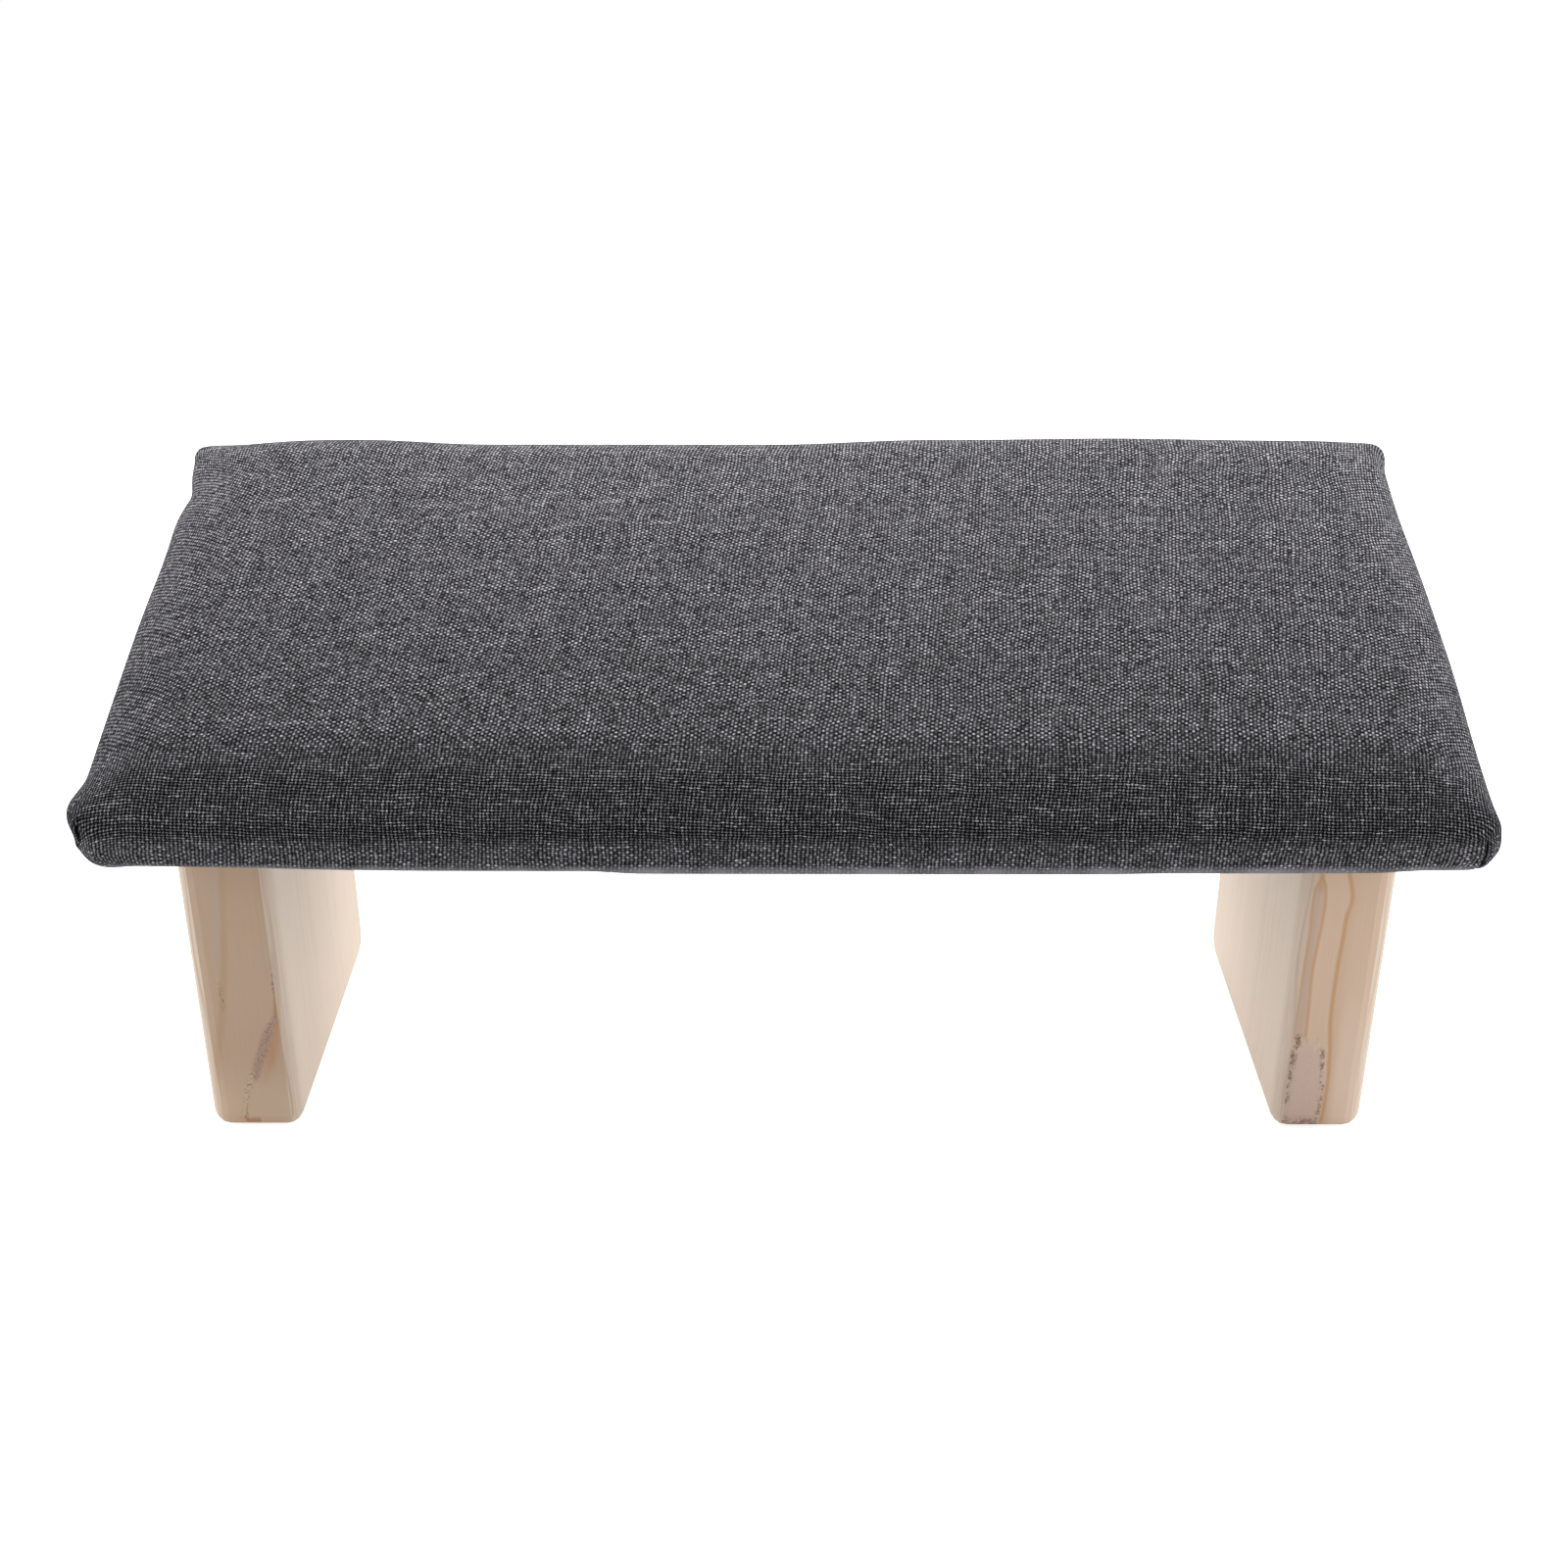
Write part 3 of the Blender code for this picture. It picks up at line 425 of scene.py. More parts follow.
def grain_line(nodes, across, z, points, width, weight):
    """A coloured line of grain down a leg's front: points are (z, place from the outer side)."""
    away = nodes.math("ABSOLUTE", nodes.math("SUBTRACT", across, nodes.path(z, points)))
    line = nodes.fit(away, 0.15 * width, width, weight, 0.0)
    low_end = nodes.fit(z, points[0][0] - 3, points[0][0], 0.0, 1.0)
    high_end = nodes.fit(z, points[-1][0], points[-1][0] + 2, 1.0, 0.0)
    return nodes.math("MULTIPLY", line, nodes.math("MULTIPLY", low_end, high_end))


def grain_area(nodes, across, z, outer, inner, blur=0.7):
    """The share of an area between two lines of grain, from the lowest to the highest of its points."""
    past_outer = nodes.fit(nodes.math("SUBTRACT", across, nodes.path(z, outer)), -blur, blur)
    before_inner = nodes.fit(nodes.math("SUBTRACT", nodes.path(z, inner), across), -blur, blur)
    low_end = nodes.fit(z, outer[0][0] - 2, outer[0][0] + 1)
    high_end = nodes.fit(z, outer[-1][0] - 1, outer[-1][0] + 2, 1.0, 0.0)
    sides = nodes.math("MULTIPLY", past_outer, before_inner)
    return nodes.math("MULTIPLY", sides, nodes.math("MULTIPLY", low_end, high_end))


def torn_specks(nodes, place, area, share):
    """Small dark holes where the cutter tore the grain, within an area."""
    grit = nodes.noise(place, 1.5, 2.0, 0.6)
    return nodes.math("MULTIPLY", nodes.fit(grit, 1 - share - 0.05, 1 - share + 0.03), area)


def left_front(nodes, color, across, z, place):
    """The left leg's front: a grey band, a brown streak, and grain torn along the inner arris."""
    band = grain_area(nodes, across, z, ((-52, 7.8), (-10, 9.8)), ((-52, 10.5), (-10, 14.2)), 1.2)
    color = nodes.mix(nodes.math("MULTIPLY", band, 0.5), color, (0.53, 0.40, 0.32, 1))
    right = nodes.math("MULTIPLY", nodes.fit(z, -60, -20), nodes.fit(across, 14, 16))
    color = nodes.mix(nodes.math("MULTIPLY", right, 0.35), color, (0.50, 0.34, 0.23, 1))
    streak = ((-112, 2.5), (-99, 3.2), (-86, 5.2), (-74, 7.5), (-50, 11.0), (-34, 12.8), (-8, 14.8))
    color = nodes.mix(grain_line(nodes, across, z, streak, 2.0, 0.55), color, (0.50, 0.32, 0.19, 1))
    edge = nodes.fit(across, 0.6, 3.0, 0.35, 0.0)
    color = nodes.mix(edge, color, (0.62, 0.40, 0.24, 1))
    foot = nodes.fit(z, -116, -84, 0.9, 0.0)
    color = nodes.mix(foot, color, (0.70, 0.53, 0.39, 1))
    red = grain_area(nodes, across, z, ((-99, 17.0), (-86, 20.5), (-72, 24.6)),
                     ((-99, 19.5), (-86, 24.0), (-72, 26.4)), 1.6)
    red = nodes.math("MULTIPLY", red, nodes.fit(z, -98, -86, 0.25, 0.85))
    color = nodes.mix(red, color, (0.54, 0.29, 0.16, 1))
    tear = ((-71, 24.8), (-62, 25.7), (-50, 26.5), (-34, 27.2), (-4, 28.6))
    color = nodes.mix(grain_line(nodes, across, z, tear, 1.0, 0.8), color, (0.44, 0.24, 0.13, 1))
    patch = grain_area(nodes, across, z, ((-97, 14.0), (-86, 17.4), (-76, 21.0), (-71, 24.2)),
                       ((-97, 16.6), (-86, 20.6), (-76, 24.0), (-71, 25.2)), 1.2)
    color = nodes.mix(nodes.math("MULTIPLY", patch, 0.75), color, (0.47, 0.32, 0.26, 1))
    torn = ((-114, 10.8), (-107, 11.8), (-101, 13.0), (-95, 15.2))
    color = nodes.mix(grain_line(nodes, across, z, torn, 1.3, 0.6), color, (0.72, 0.56, 0.38, 1))
    dash = grain_area(nodes, across, z, ((-116, 10.8), (-114.5, 10.8)), ((-116, 15.7), (-114.5, 15.7)), 0.4)
    color = nodes.mix(nodes.math("MULTIPLY", dash, 0.8), color, (0.50, 0.22, 0.08, 1))
    along_tear = grain_line(nodes, across, z, ((-60, 25.6), (-46, 26.5)), 1.2, 1.0)
    along_band = grain_line(nodes, across, z, ((-66, 8.8), (-58, 8.8)), 1.0, 0.9)
    rough = nodes.math("MAXIMUM", nodes.math("MULTIPLY", patch, 0.55), along_tear)
    rough = nodes.math("MAXIMUM", rough, grain_line(nodes, across, z, torn, 1.6, 0.7))
    specks = torn_specks(nodes, place, nodes.math("MAXIMUM", rough, along_band), 0.42)
    return color, nodes.math("MAXIMUM", rough, nodes.math("MULTIPLY", patch, 0.8)), specks


def right_front(nodes, color, across, z, place):
    """The right leg's front: a flame of orange rings round a greyish heart, rough near the foot."""
    loop_in = ((-80, 26.2), (-70, 25.7), (-54, 25.3), (-36, 24.9), (-22, 25.2), (-18, 24.6), (-15.5, 23.5))
    loop_out = ((-80, 21.8), (-68, 22.0), (-52, 22.5), (-42, 22.1), (-31, 21.5), (-21, 21.7), (-17, 22.4),
                (-15.5, 23.3))
    second = ((-115, 13.2), (-96, 12.9), (-83, 13.7), (-72, 14.7), (-50, 14.9), (-38, 14.5), (-30, 14.3),
              (-24, 13.4), (-19, 14.0), (-8, 17.5))
    third = ((-110, 1.2), (-57, 1.6), (-8, 1.9))
    heart = grain_area(nodes, across, z, loop_out, loop_in, 0.4)
    color = nodes.mix(nodes.math("MULTIPLY", heart, 0.75), color, (0.60, 0.43, 0.33, 1))
    beside = nodes.fit(nodes.math("SUBTRACT", nodes.path(z, second), across), 0.0, 4.5, 0.55, 0.0)
    inside = nodes.fit(nodes.math("SUBTRACT", nodes.path(z, second), across), -0.4, 0.0)
    color = nodes.mix(nodes.math("MULTIPLY", beside, inside), color, (0.66, 0.45, 0.29, 1))
    lower = nodes.math("MULTIPLY", nodes.fit(z, -100, -40, 1.0, 0.0), nodes.fit(across, 9, 13, 0.8, 0.0))
    color = nodes.mix(lower, color, (0.80, 0.63, 0.50, 1))
    lines = ((loop_in, 0.8, 0.6), (loop_out, 0.8, 0.7), (second, 1.1, 0.8), (third, 0.8, 0.5))
    for line, width, weight in lines:
        color = nodes.mix(grain_line(nodes, across, z, line, width, weight), color, (0.60, 0.34, 0.17, 1))
    tip = grain_line(nodes, across, z, ((-19, 23.4), (-12, 23.4)), 1.5, 0.6)
    color = nodes.mix(tip, color, (0.58, 0.34, 0.18, 1))
    ragged = nodes.math("MULTIPLY_ADD", nodes.noise(place, 0.35, 2.0), 22.0, nodes.math("SUBTRACT", z, 11.0))
    patch = grain_area(nodes, across, ragged, ((-122, 14.2), (-97, 13.9), (-82, 15.0)),
                       ((-122, 26.0), (-101, 26.6), (-82, 26.2)), 1.1)
    color = nodes.mix(nodes.math("MULTIPLY", patch, 0.85), color, (0.72, 0.55, 0.47, 1))
    inner_rim = grain_line(nodes, across, z, ((-106, 25.6), (-92, 25.4), (-79, 23.8)), 1.9, 1.0)
    outer_rim = grain_line(nodes, across, z, ((-117, 15.2), (-97, 14.6), (-85, 16.0)), 1.3, 0.8)
    bottom_rim = nodes.math("MULTIPLY", patch, nodes.fit(z, -117, -111, 1.0, 0.0))
    rims = nodes.math("MAXIMUM", nodes.math("MAXIMUM", inner_rim, outer_rim), bottom_rim)
    clumps = nodes.math("MULTIPLY", rims, nodes.fit(nodes.noise(place, 0.6, 3.0, 0.7), 0.42, 0.58))
    color = nodes.mix(nodes.math("MULTIPLY", clumps, 0.6), color, (0.46, 0.28, 0.16, 1))
    specks = torn_specks(nodes, place, clumps, 0.50)
    grit = nodes.math("MULTIPLY", torn_specks(nodes, place, patch, 0.34), 0.3)
    return color, patch, nodes.math("MAXIMUM", specks, grit)


def pine_material(name, shade, front):
    """Planed, bare pine: fine straight lines on the broad faces, and its own grain on the front, which is
    browner partly in its own tone and partly in painted shade.
    """
    nodes = Nodes(name)
    place = nodes.seat_coordinates()
    x, y, z = nodes.split(place)
    facing = nodes.split(nodes.add("TexCoord", {}).outputs["Normal"])[0]
    broadness = nodes.fit(nodes.math("ABSOLUTE", facing), 0.10, 0.75)
    across = nodes.math("SUBTRACT", LEG_OUTER_X / MM, nodes.math("ABSOLUTE", x))
    stretched = nodes.vector(nodes.math("MULTIPLY", x, 2.0), nodes.math("MULTIPLY", y, 2.0),
                             nodes.math("MULTIPLY", z, 0.05))
    fibre = nodes.noise(stretched, 1.0, 3.0)
    cloud = nodes.noise(nodes.vector(x, y, nodes.math("MULTIPLY", z, 0.3)), 0.03, 2.0)
    drift = nodes.noise(nodes.vector(y, 0.0, nodes.math("MULTIPLY", z, 0.10)), 0.08, 2.0)
    rings = nodes.math("MULTIPLY_ADD", drift, RING_DRIFT, nodes.math("DIVIDE", y, RING_PITCH / MM))
    wave = nodes.math("SINE", nodes.math("MULTIPLY", rings, 2 * math.pi))
    line = nodes.math("POWER", nodes.math("MULTIPLY_ADD", wave, 0.5, 0.5), 5.0)
    strong = nodes.random(nodes.math("FLOOR", nodes.math("ADD", rings, 0.25)))
    line = nodes.math("MULTIPLY", line, nodes.fit(strong, 0.25, 1.0, 0.10, 0.62))
    line = nodes.math("MULTIPLY", line, nodes.fit(cloud, 0.35, 0.6, 0.35, 1.0))
    broad = nodes.mix(nodes.fit(fibre, 0.3, 0.7), *BROAD_COLORS)
    broad = nodes.mix(line, broad, BROAD_LINE_COLOR)
    dark, light = ((*(share * c for c in shade), 1) for share in SHADE_SPREAD)
    edge = nodes.mix(nodes.fit(fibre, 0.3, 0.7), dark, light)
    edge = nodes.mix(nodes.fit(cloud, 0.35, 0.65, 0.0, 0.12), edge, (0.52, 0.36, 0.24, 1))
    torn_place = nodes.vector(across, y, nodes.math("MULTIPLY", z, 0.6))
    dressed, rough, specks = front(nodes, edge, across, z, torn_place)
    at_front = nodes.fit(y, LEG_FRONT_Y / MM + FRONT_EDGE[0], LEG_FRONT_Y / MM + FRONT_EDGE[1], 1.0, 0.0)
    # Painted shade on the narrow faces away from the front.
    shaded_back = nodes.mix(nodes.fit(fibre, 0.3, 0.7), *SHADED_BACK_COLORS)
    # The fronts, brightened by painted light.
    edge = nodes.mix(at_front, shaded_back, nodes.mix(1.0, dressed, FRONT_PAINTED_LIGHT, "MULTIPLY"))
    rough = nodes.math("MULTIPLY", rough, at_front)
    narrow = nodes.fit(broadness, 0.2, 0.6, 1.0, 0.0)
    specks = nodes.math("MULTIPLY", nodes.math("MULTIPLY", specks, at_front), narrow)
    # Pale broad faces; browner narrow faces, partly in the wood's tone and partly in painted shade.
    color = nodes.mix(broadness, edge, broad)
    color = nodes.mix(nodes.math("MULTIPLY", specks, 0.8), color, SPECK_COLOR)
    fuzz = nodes.math("MULTIPLY", nodes.noise(place, 2.2, 3.0, 0.7), rough)
    height = nodes.math("MULTIPLY_ADD", fuzz, 1.6, nodes.math("MULTIPLY", fibre, 0.25))
    height = nodes.math("SUBTRACT", height, nodes.math("MULTIPLY", specks, 1.2))
    height = nodes.math("SUBTRACT", height, nodes.math("MULTIPLY", line, 0.2))
    return nodes.finish(color, nodes.fit(rough, 0.0, 1.0, 0.6, 0.85), nodes.bump(height, 0.25 * MM, 0.8),
                        Specular_IOR_Level=0.3)


def steel_material(name, color, roughness):
    """Plated steel with faint uneven gloss."""
    nodes = Nodes(name)
    place = nodes.seat_coordinates()
    cloud = nodes.noise(place, 0.35, 3.0)
    grit = nodes.noise(place, 6.0, 2.0)
    gloss = nodes.fit(cloud, 0.3, 0.7, roughness - 0.07, roughness + 0.08)
    tint = nodes.mix(nodes.fit(cloud, 0.35, 0.65), (*color, 1), (*(0.86 * c for c in color), 1))
    return nodes.finish(tint, gloss, nodes.bump(grit, 0.02 * MM, 0.5), Metallic=1.0)


def plywood_material():
    """Birch plywood: plies along the edges, flat grain on the faces."""
    nodes = Nodes("plywood")
    x, y, z = nodes.split(nodes.seat_coordinates())
    stretched = nodes.vector(nodes.math("MULTIPLY", x, 0.02), nodes.math("MULTIPLY", y, 0.6), z)
    grain = nodes.noise(stretched, 1.0, 4.0)
    ply = nodes.math("PINGPONG", z, 1.4)
    tone = nodes.math("MULTIPLY_ADD", nodes.fit(ply, 0.6, 0.8), 0.35, nodes.math("MULTIPLY", grain, 0.65))
    color = nodes.mix(tone, (0.74, 0.60, 0.42, 1), (0.52, 0.38, 0.24, 1))
    return nodes.finish(color, 0.7, nodes.bump(grain, 0.05 * MM, 0.5))


def foam_material():
    """Open-cell foam with its fine pores."""
    nodes = Nodes("foam")
    place = nodes.seat_coordinates()
    pores = nodes.add("TexVoronoi", {"Vector": place, "Scale": 1.4}).outputs["Distance"]
    color = nodes.mix(nodes.fit(pores, 0.1, 0.6), (0.55, 0.52, 0.40, 1), (0.82, 0.80, 0.68, 1))
    return nodes.finish(color, 0.95, nodes.bump(pores, 0.3 * MM, 0.6))


def dust_cloth_material():
    """Black non-woven cloth with its dotted bonding."""
    nodes = Nodes("dust_cloth")
    x, y = nodes.split(nodes.seat_coordinates())[:2]
    dots = nodes.add("TexVoronoi", {"Vector": nodes.vector(x, y), "Scale": 0.9, "Randomness": 0.15})
    dot = nodes.fit(dots.outputs["Distance"], 0.25, 0.42)
    web = nodes.noise(nodes.vector(x, y), 3.0, 4.0, 0.7)
    height = nodes.math("MULTIPLY_ADD", web, 0.6, dot)
    color = nodes.mix(nodes.fit(height, 0.2, 1.4), (0.010, 0.010, 0.011, 1), (0.034, 0.034, 0.036, 1))
    normal = nodes.bump(height, 0.12 * MM, 0.7)
    return nodes.finish(color, 0.85, normal, Sheen_Weight=0.15, Sheen_Roughness=0.5)


# The upholstered block's shape
def roll_lines(count, height):
    """Lines up the rolled edge: inset, share of the rise, and the cloth's length on to the flat top."""
    angles = np.linspace(0, math.pi / 2, count + 1)
    insets = ROLL_RUN * (1 - np.cos(angles) ** (2 / ROLL_POWER))
    shares = np.sin(angles) ** (2 / ROLL_POWER)
    steps = np.hypot(np.diff(insets), np.diff(shares) * height)
    lengths = np.append(steps[::-1].cumsum()[::-1], 0.0)
    return insets, shares, lengths


def grid_lines(half, count, height, spacing):
    """Lines across the block: place, share of the rise, and how far the cloth's length runs ahead."""
    insets, shares, lengths = roll_lines(count, height)
    flat = half - ROLL_RUN
    inner = np.linspace(-flat, flat, max(2, round(2 * flat / spacing)) + 1)[1:-1]
    ahead = lengths - (ROLL_RUN - insets)
    places = np.concatenate([insets - half, inner, (half - insets)[::-1]])
    rises = np.concatenate([shares, np.ones_like(inner), shares[::-1]])
    extra = np.concatenate([-ahead, np.zeros_like(inner), ahead[::-1]])
    return places, rises, extra


def joined_rise(first, second):
    """The rise over a corner: full only where both rolls are."""
    first = np.maximum(first, 1e-6)
    second = np.maximum(second, 1e-6)
    power = CORNER_FULLNESS
    return (first ** -power + second ** -power - 1) ** (-1 / power)


def smooth_step(value, low, high):
    share = np.clip((value - low) / (high - low), 0, 1)
    return share * share * (3 - 2 * share)


def round_corners(x, y, half_x, half_y):
    """Bends the square corners of the plan to arcs, the back left one tighter than the others."""
    radius = np.where((x < 0) & (y > 0), CRISP_CORNER_RADIUS, CORNER_RADIUS)
    s = np.clip((np.abs(x) - (half_x - radius)) / radius, 0, 1)
    t = np.clip((np.abs(y) - (half_y - radius)) / radius, 0, 1)
    both = (s > 0) & (t > 0)
    new_s = np.where(both, s * np.sqrt(1 - t * t / 2), s)
    new_t = np.where(both, t * np.sqrt(1 - s * s / 2), t)
    new_x = np.where(both, np.sign(x) * (half_x - radius + new_s * radius), x)
    new_y = np.where(both, np.sign(y) * (half_y - radius + new_t * radius), y)
    return new_x, new_y


def bump_at(value, centre, width):
    return np.exp(-((value - centre) / width) ** 2)


def wall_path():
    """The cloth's way down from the roll, as inset and height, as far as the hem's cut edge."""
    path = [(0.0, height) for height in np.linspace(SIDE_TOP, BOTTOM_EDGE_RADIUS, WALL_LINES + 1)[1:]]
    for step in range(1, EDGE_LINES + 1):
        angle = math.pi / 2 * step / EDGE_LINES
        path.append((BOTTOM_EDGE_RADIUS * (1 - math.cos(angle)), BOTTOM_EDGE_RADIUS * (1 - math.sin(angle))))
    for share in np.linspace(0, 1, HEM_LINES + 1)[1:]:
        path.append((BOTTOM_EDGE_RADIUS + (HEM_WIDTH - BOTTOM_EDGE_RADIUS) * share ** 1.6, 0.0))
    return path


def drawn_in(x, y, half_y):
    """How far the corner folds draw the sides in, at a depth."""
    bow = 0.5 * (1 - (y / half_y) ** 4)
    left = 0.4 + 2.8 * bump_at(y, 80, 13) + 1.1 * bump_at(y, 40, 30)
    right = 0.9 * bump_at(y, 68, 30) + 1.2 * smooth_step(-y, 20, 85)
    return np.where(x < 0, left, right) - bow


def back_line(x):
    """How the back roll's top line rises and dips across the seat."""
    dip = smooth_step(x, -150, -105) * (1 - smooth_step(x, -5, 50))
    return 0.75 * bump_at(x, 115, 35) + 2.6 * bump_at(x, 214, 10) - 1.7 * bump_at(x, -193, 18) - 1.95 * dip


def front_line(x):
    """How far the front's bottom edge rises across the seat."""
    left = 0.95 * (1 - smooth_step(x, -60, -42)) + 1.2 * smooth_step(-x, 105, 185)
    right = 0.4 * smooth_step(x, 90, 115) + 0.8 * smooth_step(x, 172, 190)
    return left * (1 - 0.3 * smooth_step(-x, 192, 204)) + right


# Each corner of the cloth, in millimetres. The ear stands out most at a level and at a place from the end,
# and fades over its spread in height and its reach. The bottom is rounded in below round_top. The slit beside
# the ear ends at slit_top, and lies round the corner at one place above high and at another below low.
# shade is the share of painted shade on the strip beside the slit.
EARS = (
    {"side": -1, "end": -1, "ear": 3.1, "level": 16.5, "spread": 5.5, "place": 11, "reach": 8,
     "rounding": 3.8, "round_top": 8.0, "slit_top": 21, "place_high": 0.8, "place_low": -2.6,
     "high": 12.5, "low": 5.0, "depth": 0.45, "width": 1.0, "shade": 0.4},
    {"side": 1, "end": -1, "ear": 1.8, "level": 9.0, "spread": 8.0, "place": 3, "reach": 8,
     "rounding": 2.8, "round_top": 7.5, "slit_top": 14.5, "place_high": 3.0, "place_low": 1.8,
     "high": 6.0, "low": 0.5, "depth": 0.45, "width": 1.6, "shade": 0.0},
    {"side": -1, "end": 1, "ear": 0.9, "level": 17.0, "spread": 6.0, "place": 2, "reach": 6,
     "rounding": 0.0, "round_top": 6.0, "slit_top": 26, "place_high": -1.5, "place_low": -1.5,
     "high": 6.0, "low": 0.0, "depth": 0.2, "width": 1.0, "shade": 0.0},
    {"side": 1, "end": 1, "ear": 2.0, "level": 18.0, "spread": 6.0, "place": 3, "reach": 8,
     "rounding": 0.0, "round_top": 6.0, "slit_top": 20, "place_high": 0.0, "place_low": 0.0,
     "high": 6.0, "low": 0.0, "depth": 0.2, "width": 1.0, "shade": 0.0},
)


def settle_cloth(points, half_x, half_y):
    """The cloth's own unevenness: sides drawn in, wavy edges, and ears and slits at the corners.
    Gives the moved points, and for each its distance from a slit, the slit's share and the painted shade of
    its ear's strip."""
    x, y, z = points.T / MM
    half_x = half_x / MM
    half_y = half_y / MM
    fold = np.zeros_like(points)
    move_x = -np.sign(x) * drawn_in(x, y, half_y) * smooth_step(np.abs(x), half_x - 40, half_x)
    move_y = -0.9 * smooth_step(-y, 0.55 * half_y, half_y) * (1 - (x / half_x) ** 4)
    move_z = back_line(x) * smooth_step(y, 30, 95) * smooth_step(z, 14, 26)
    at_front = smooth_step(-y, half_y - 12, half_y - 2.6)
    move_z += front_line(x) * at_front * (1 - smooth_step(z, 0, 12))
    for c in EARS:
        side = c["side"]
        end = c["end"]
        in_x = half_x - side * x
        in_y = half_y - end * y
        ear = bump_at(in_x, 0, 12) * bump_at(in_y, c["place"], c["reach"])
        ear = ear * bump_at(z, c["level"], c["spread"])
        corner = (1 - smooth_step(in_x, 4, 22)) * (1 - smooth_step(in_y, 5, 25))
        below = np.clip((c["round_top"] - z) / c["round_top"], 0, 1) ** 1.8
        move_x += side * (c["ear"] * ear - c["rounding"] * corner * below)
        high_share = smooth_step(z, c["low"], c["high"])
        middle = c["place_low"] + (c["place_high"] - c["place_low"]) * high_share
        slant = (in_x - in_y) / math.sqrt(2) - middle
        from_corner = np.maximum(in_x, in_y)
        reached = 1 - smooth_step(z, c["slit_top"] - 3, c["slit_top"])
        reached = reached * (1 - smooth_step(from_corner, 5, 8))
        flap = 0.8 * (1 - smooth_step(slant, -0.6, 0.0)) * (1 - smooth_step(-slant, 1, 4))
        slit = bump_at(slant, 0.15 * c["width"], 0.25 * c["width"])
        out = c["depth"] * (flap - slit) * reached / math.sqrt(2)
        move_x += side * out
        move_y += end * out
        near = from_corner < 9
        fold[near, 0] = slant[near] / c["width"]
        fold[near, 1] = reached[near]
        fold[near, 2] = c["shade"]
    return np.stack([x + move_x, y + move_y, z + move_z], 1) * MM, fold


def grid_faces(columns, rows, first=0):
    """Quads over a grid of points that runs along X first."""
    corner = first + np.arange(rows - 1)[:, None] * columns + np.arange(columns - 1)[None, :]
    corner = corner.ravel()
    return np.stack([corner, corner + 1, corner + columns + 1, corner + columns], 1)


def rim_loop(columns, rows):
    """The grid's outer points in turn, anticlockwise, and the side that each step lies on."""
    front = np.arange(columns - 1)
    right = (columns - 1) + np.arange(rows - 1) * columns
    back = (rows - 1) * columns + np.arange(columns - 1, 0, -1)
    left = np.arange(rows - 1, 0, -1) * columns
    loop = np.concatenate([front, right, back, left])
    sides = np.repeat([0, 1, 2, 3], [len(front), len(right), len(back), len(left)])
    return loop, sides


def mesh_object(name, points, faces, material, cloth=None):
    """A smooth mesh in the seat's frame, moved to its place. cloth gives each face corner its coordinates."""
    mesh = bpy.data.meshes.new(name)
    mesh.from_pydata(points.tolist(), [], [list(face) for face in faces])
    if cloth is not None:
        layer = mesh.uv_layers.new(name="cloth")
        layer.data.foreach_set("uv", np.asarray(cloth, np.float32).ravel())
    mesh.transform(SEAT)
    mesh.shade_smooth()
    mesh.materials.append(material)
    made = bpy.data.objects.new(name, mesh)
    bpy.context.scene.collection.objects.link(made)
    return made


def block_surface(count, spacing, path):
    """The upholstered block from its crowned top down the path: points, faces, cloth, folds and last ring."""
    half_x = COVER_SIZE[0] / 2
    half_y = COVER_SIZE[1] / 2
    roll_height = COVER_SIZE[2] - CROWN - SIDE_TOP
    places_x, rises_x, extra_x = grid_lines(half_x, count, roll_height, spacing)
    places_y, rises_y, extra_y = grid_lines(half_y, count, roll_height, spacing)
    columns = len(places_x)
    rows = len(places_y)
    x, y = np.meshgrid(places_x, places_y)
    rise_x, rise_y = np.meshgrid(rises_x, rises_y)
    ahead_x, ahead_y = np.meshgrid(extra_x, extra_y)
    cloth = np.stack([x + ahead_x * smooth_step(rise_y, 0, 1), y + ahead_y * smooth_step(rise_x, 0, 1)], 2)
    crown = CROWN * (1 - (x / half_x) ** 2) * (1 - (y / half_y) ** 2)
    z = SIDE_TOP + roll_height * joined_rise(rise_x, rise_y) + crown
    x, y = round_corners(x, y, half_x, half_y)
    points = np.stack([x, y, z], 2).reshape(-1, 3)
    cloth = cloth.reshape(-1, 2)
    all_faces = [grid_faces(columns, rows)]
    all_cloth = [cloth[all_faces[0]]]

    loop, sides = rim_loop(columns, rows)
    rim = points[loop]
    downward = np.array([(0, -1), (1, 0), (0, 1), (-1, 0)])[sides]
    here = np.arange(len(loop))
    after = np.roll(here, -1)
    corners = [here, after, after, here]
    rings = [points]
    upper = loop
    upper_length = 0.0
    before = (0.0, SIDE_TOP)
    for inset, height in path:
        lower = sum(len(ring) for ring in rings) + here
        lower_length = upper_length + math.dist(before, (inset, height))
        rings.append(rim * (1 - inset / half_x, 1 - inset / half_y, 0) + (0, 0, height))
        all_faces.append(np.stack([lower, lower[after], upper[after], upper], 1))
        drops = [lower_length, lower_length, upper_length, upper_length]
        all_cloth.append(np.stack([cloth[loop[c]] + downward * drop for c, drop in zip(corners, drops)], 1))
        upper = lower
        upper_length = lower_length
        before = (inset, height)
    points, fold = settle_cloth(np.concatenate(rings), half_x, half_y)
    return points, np.concatenate(all_faces), np.concatenate(all_cloth), fold, upper


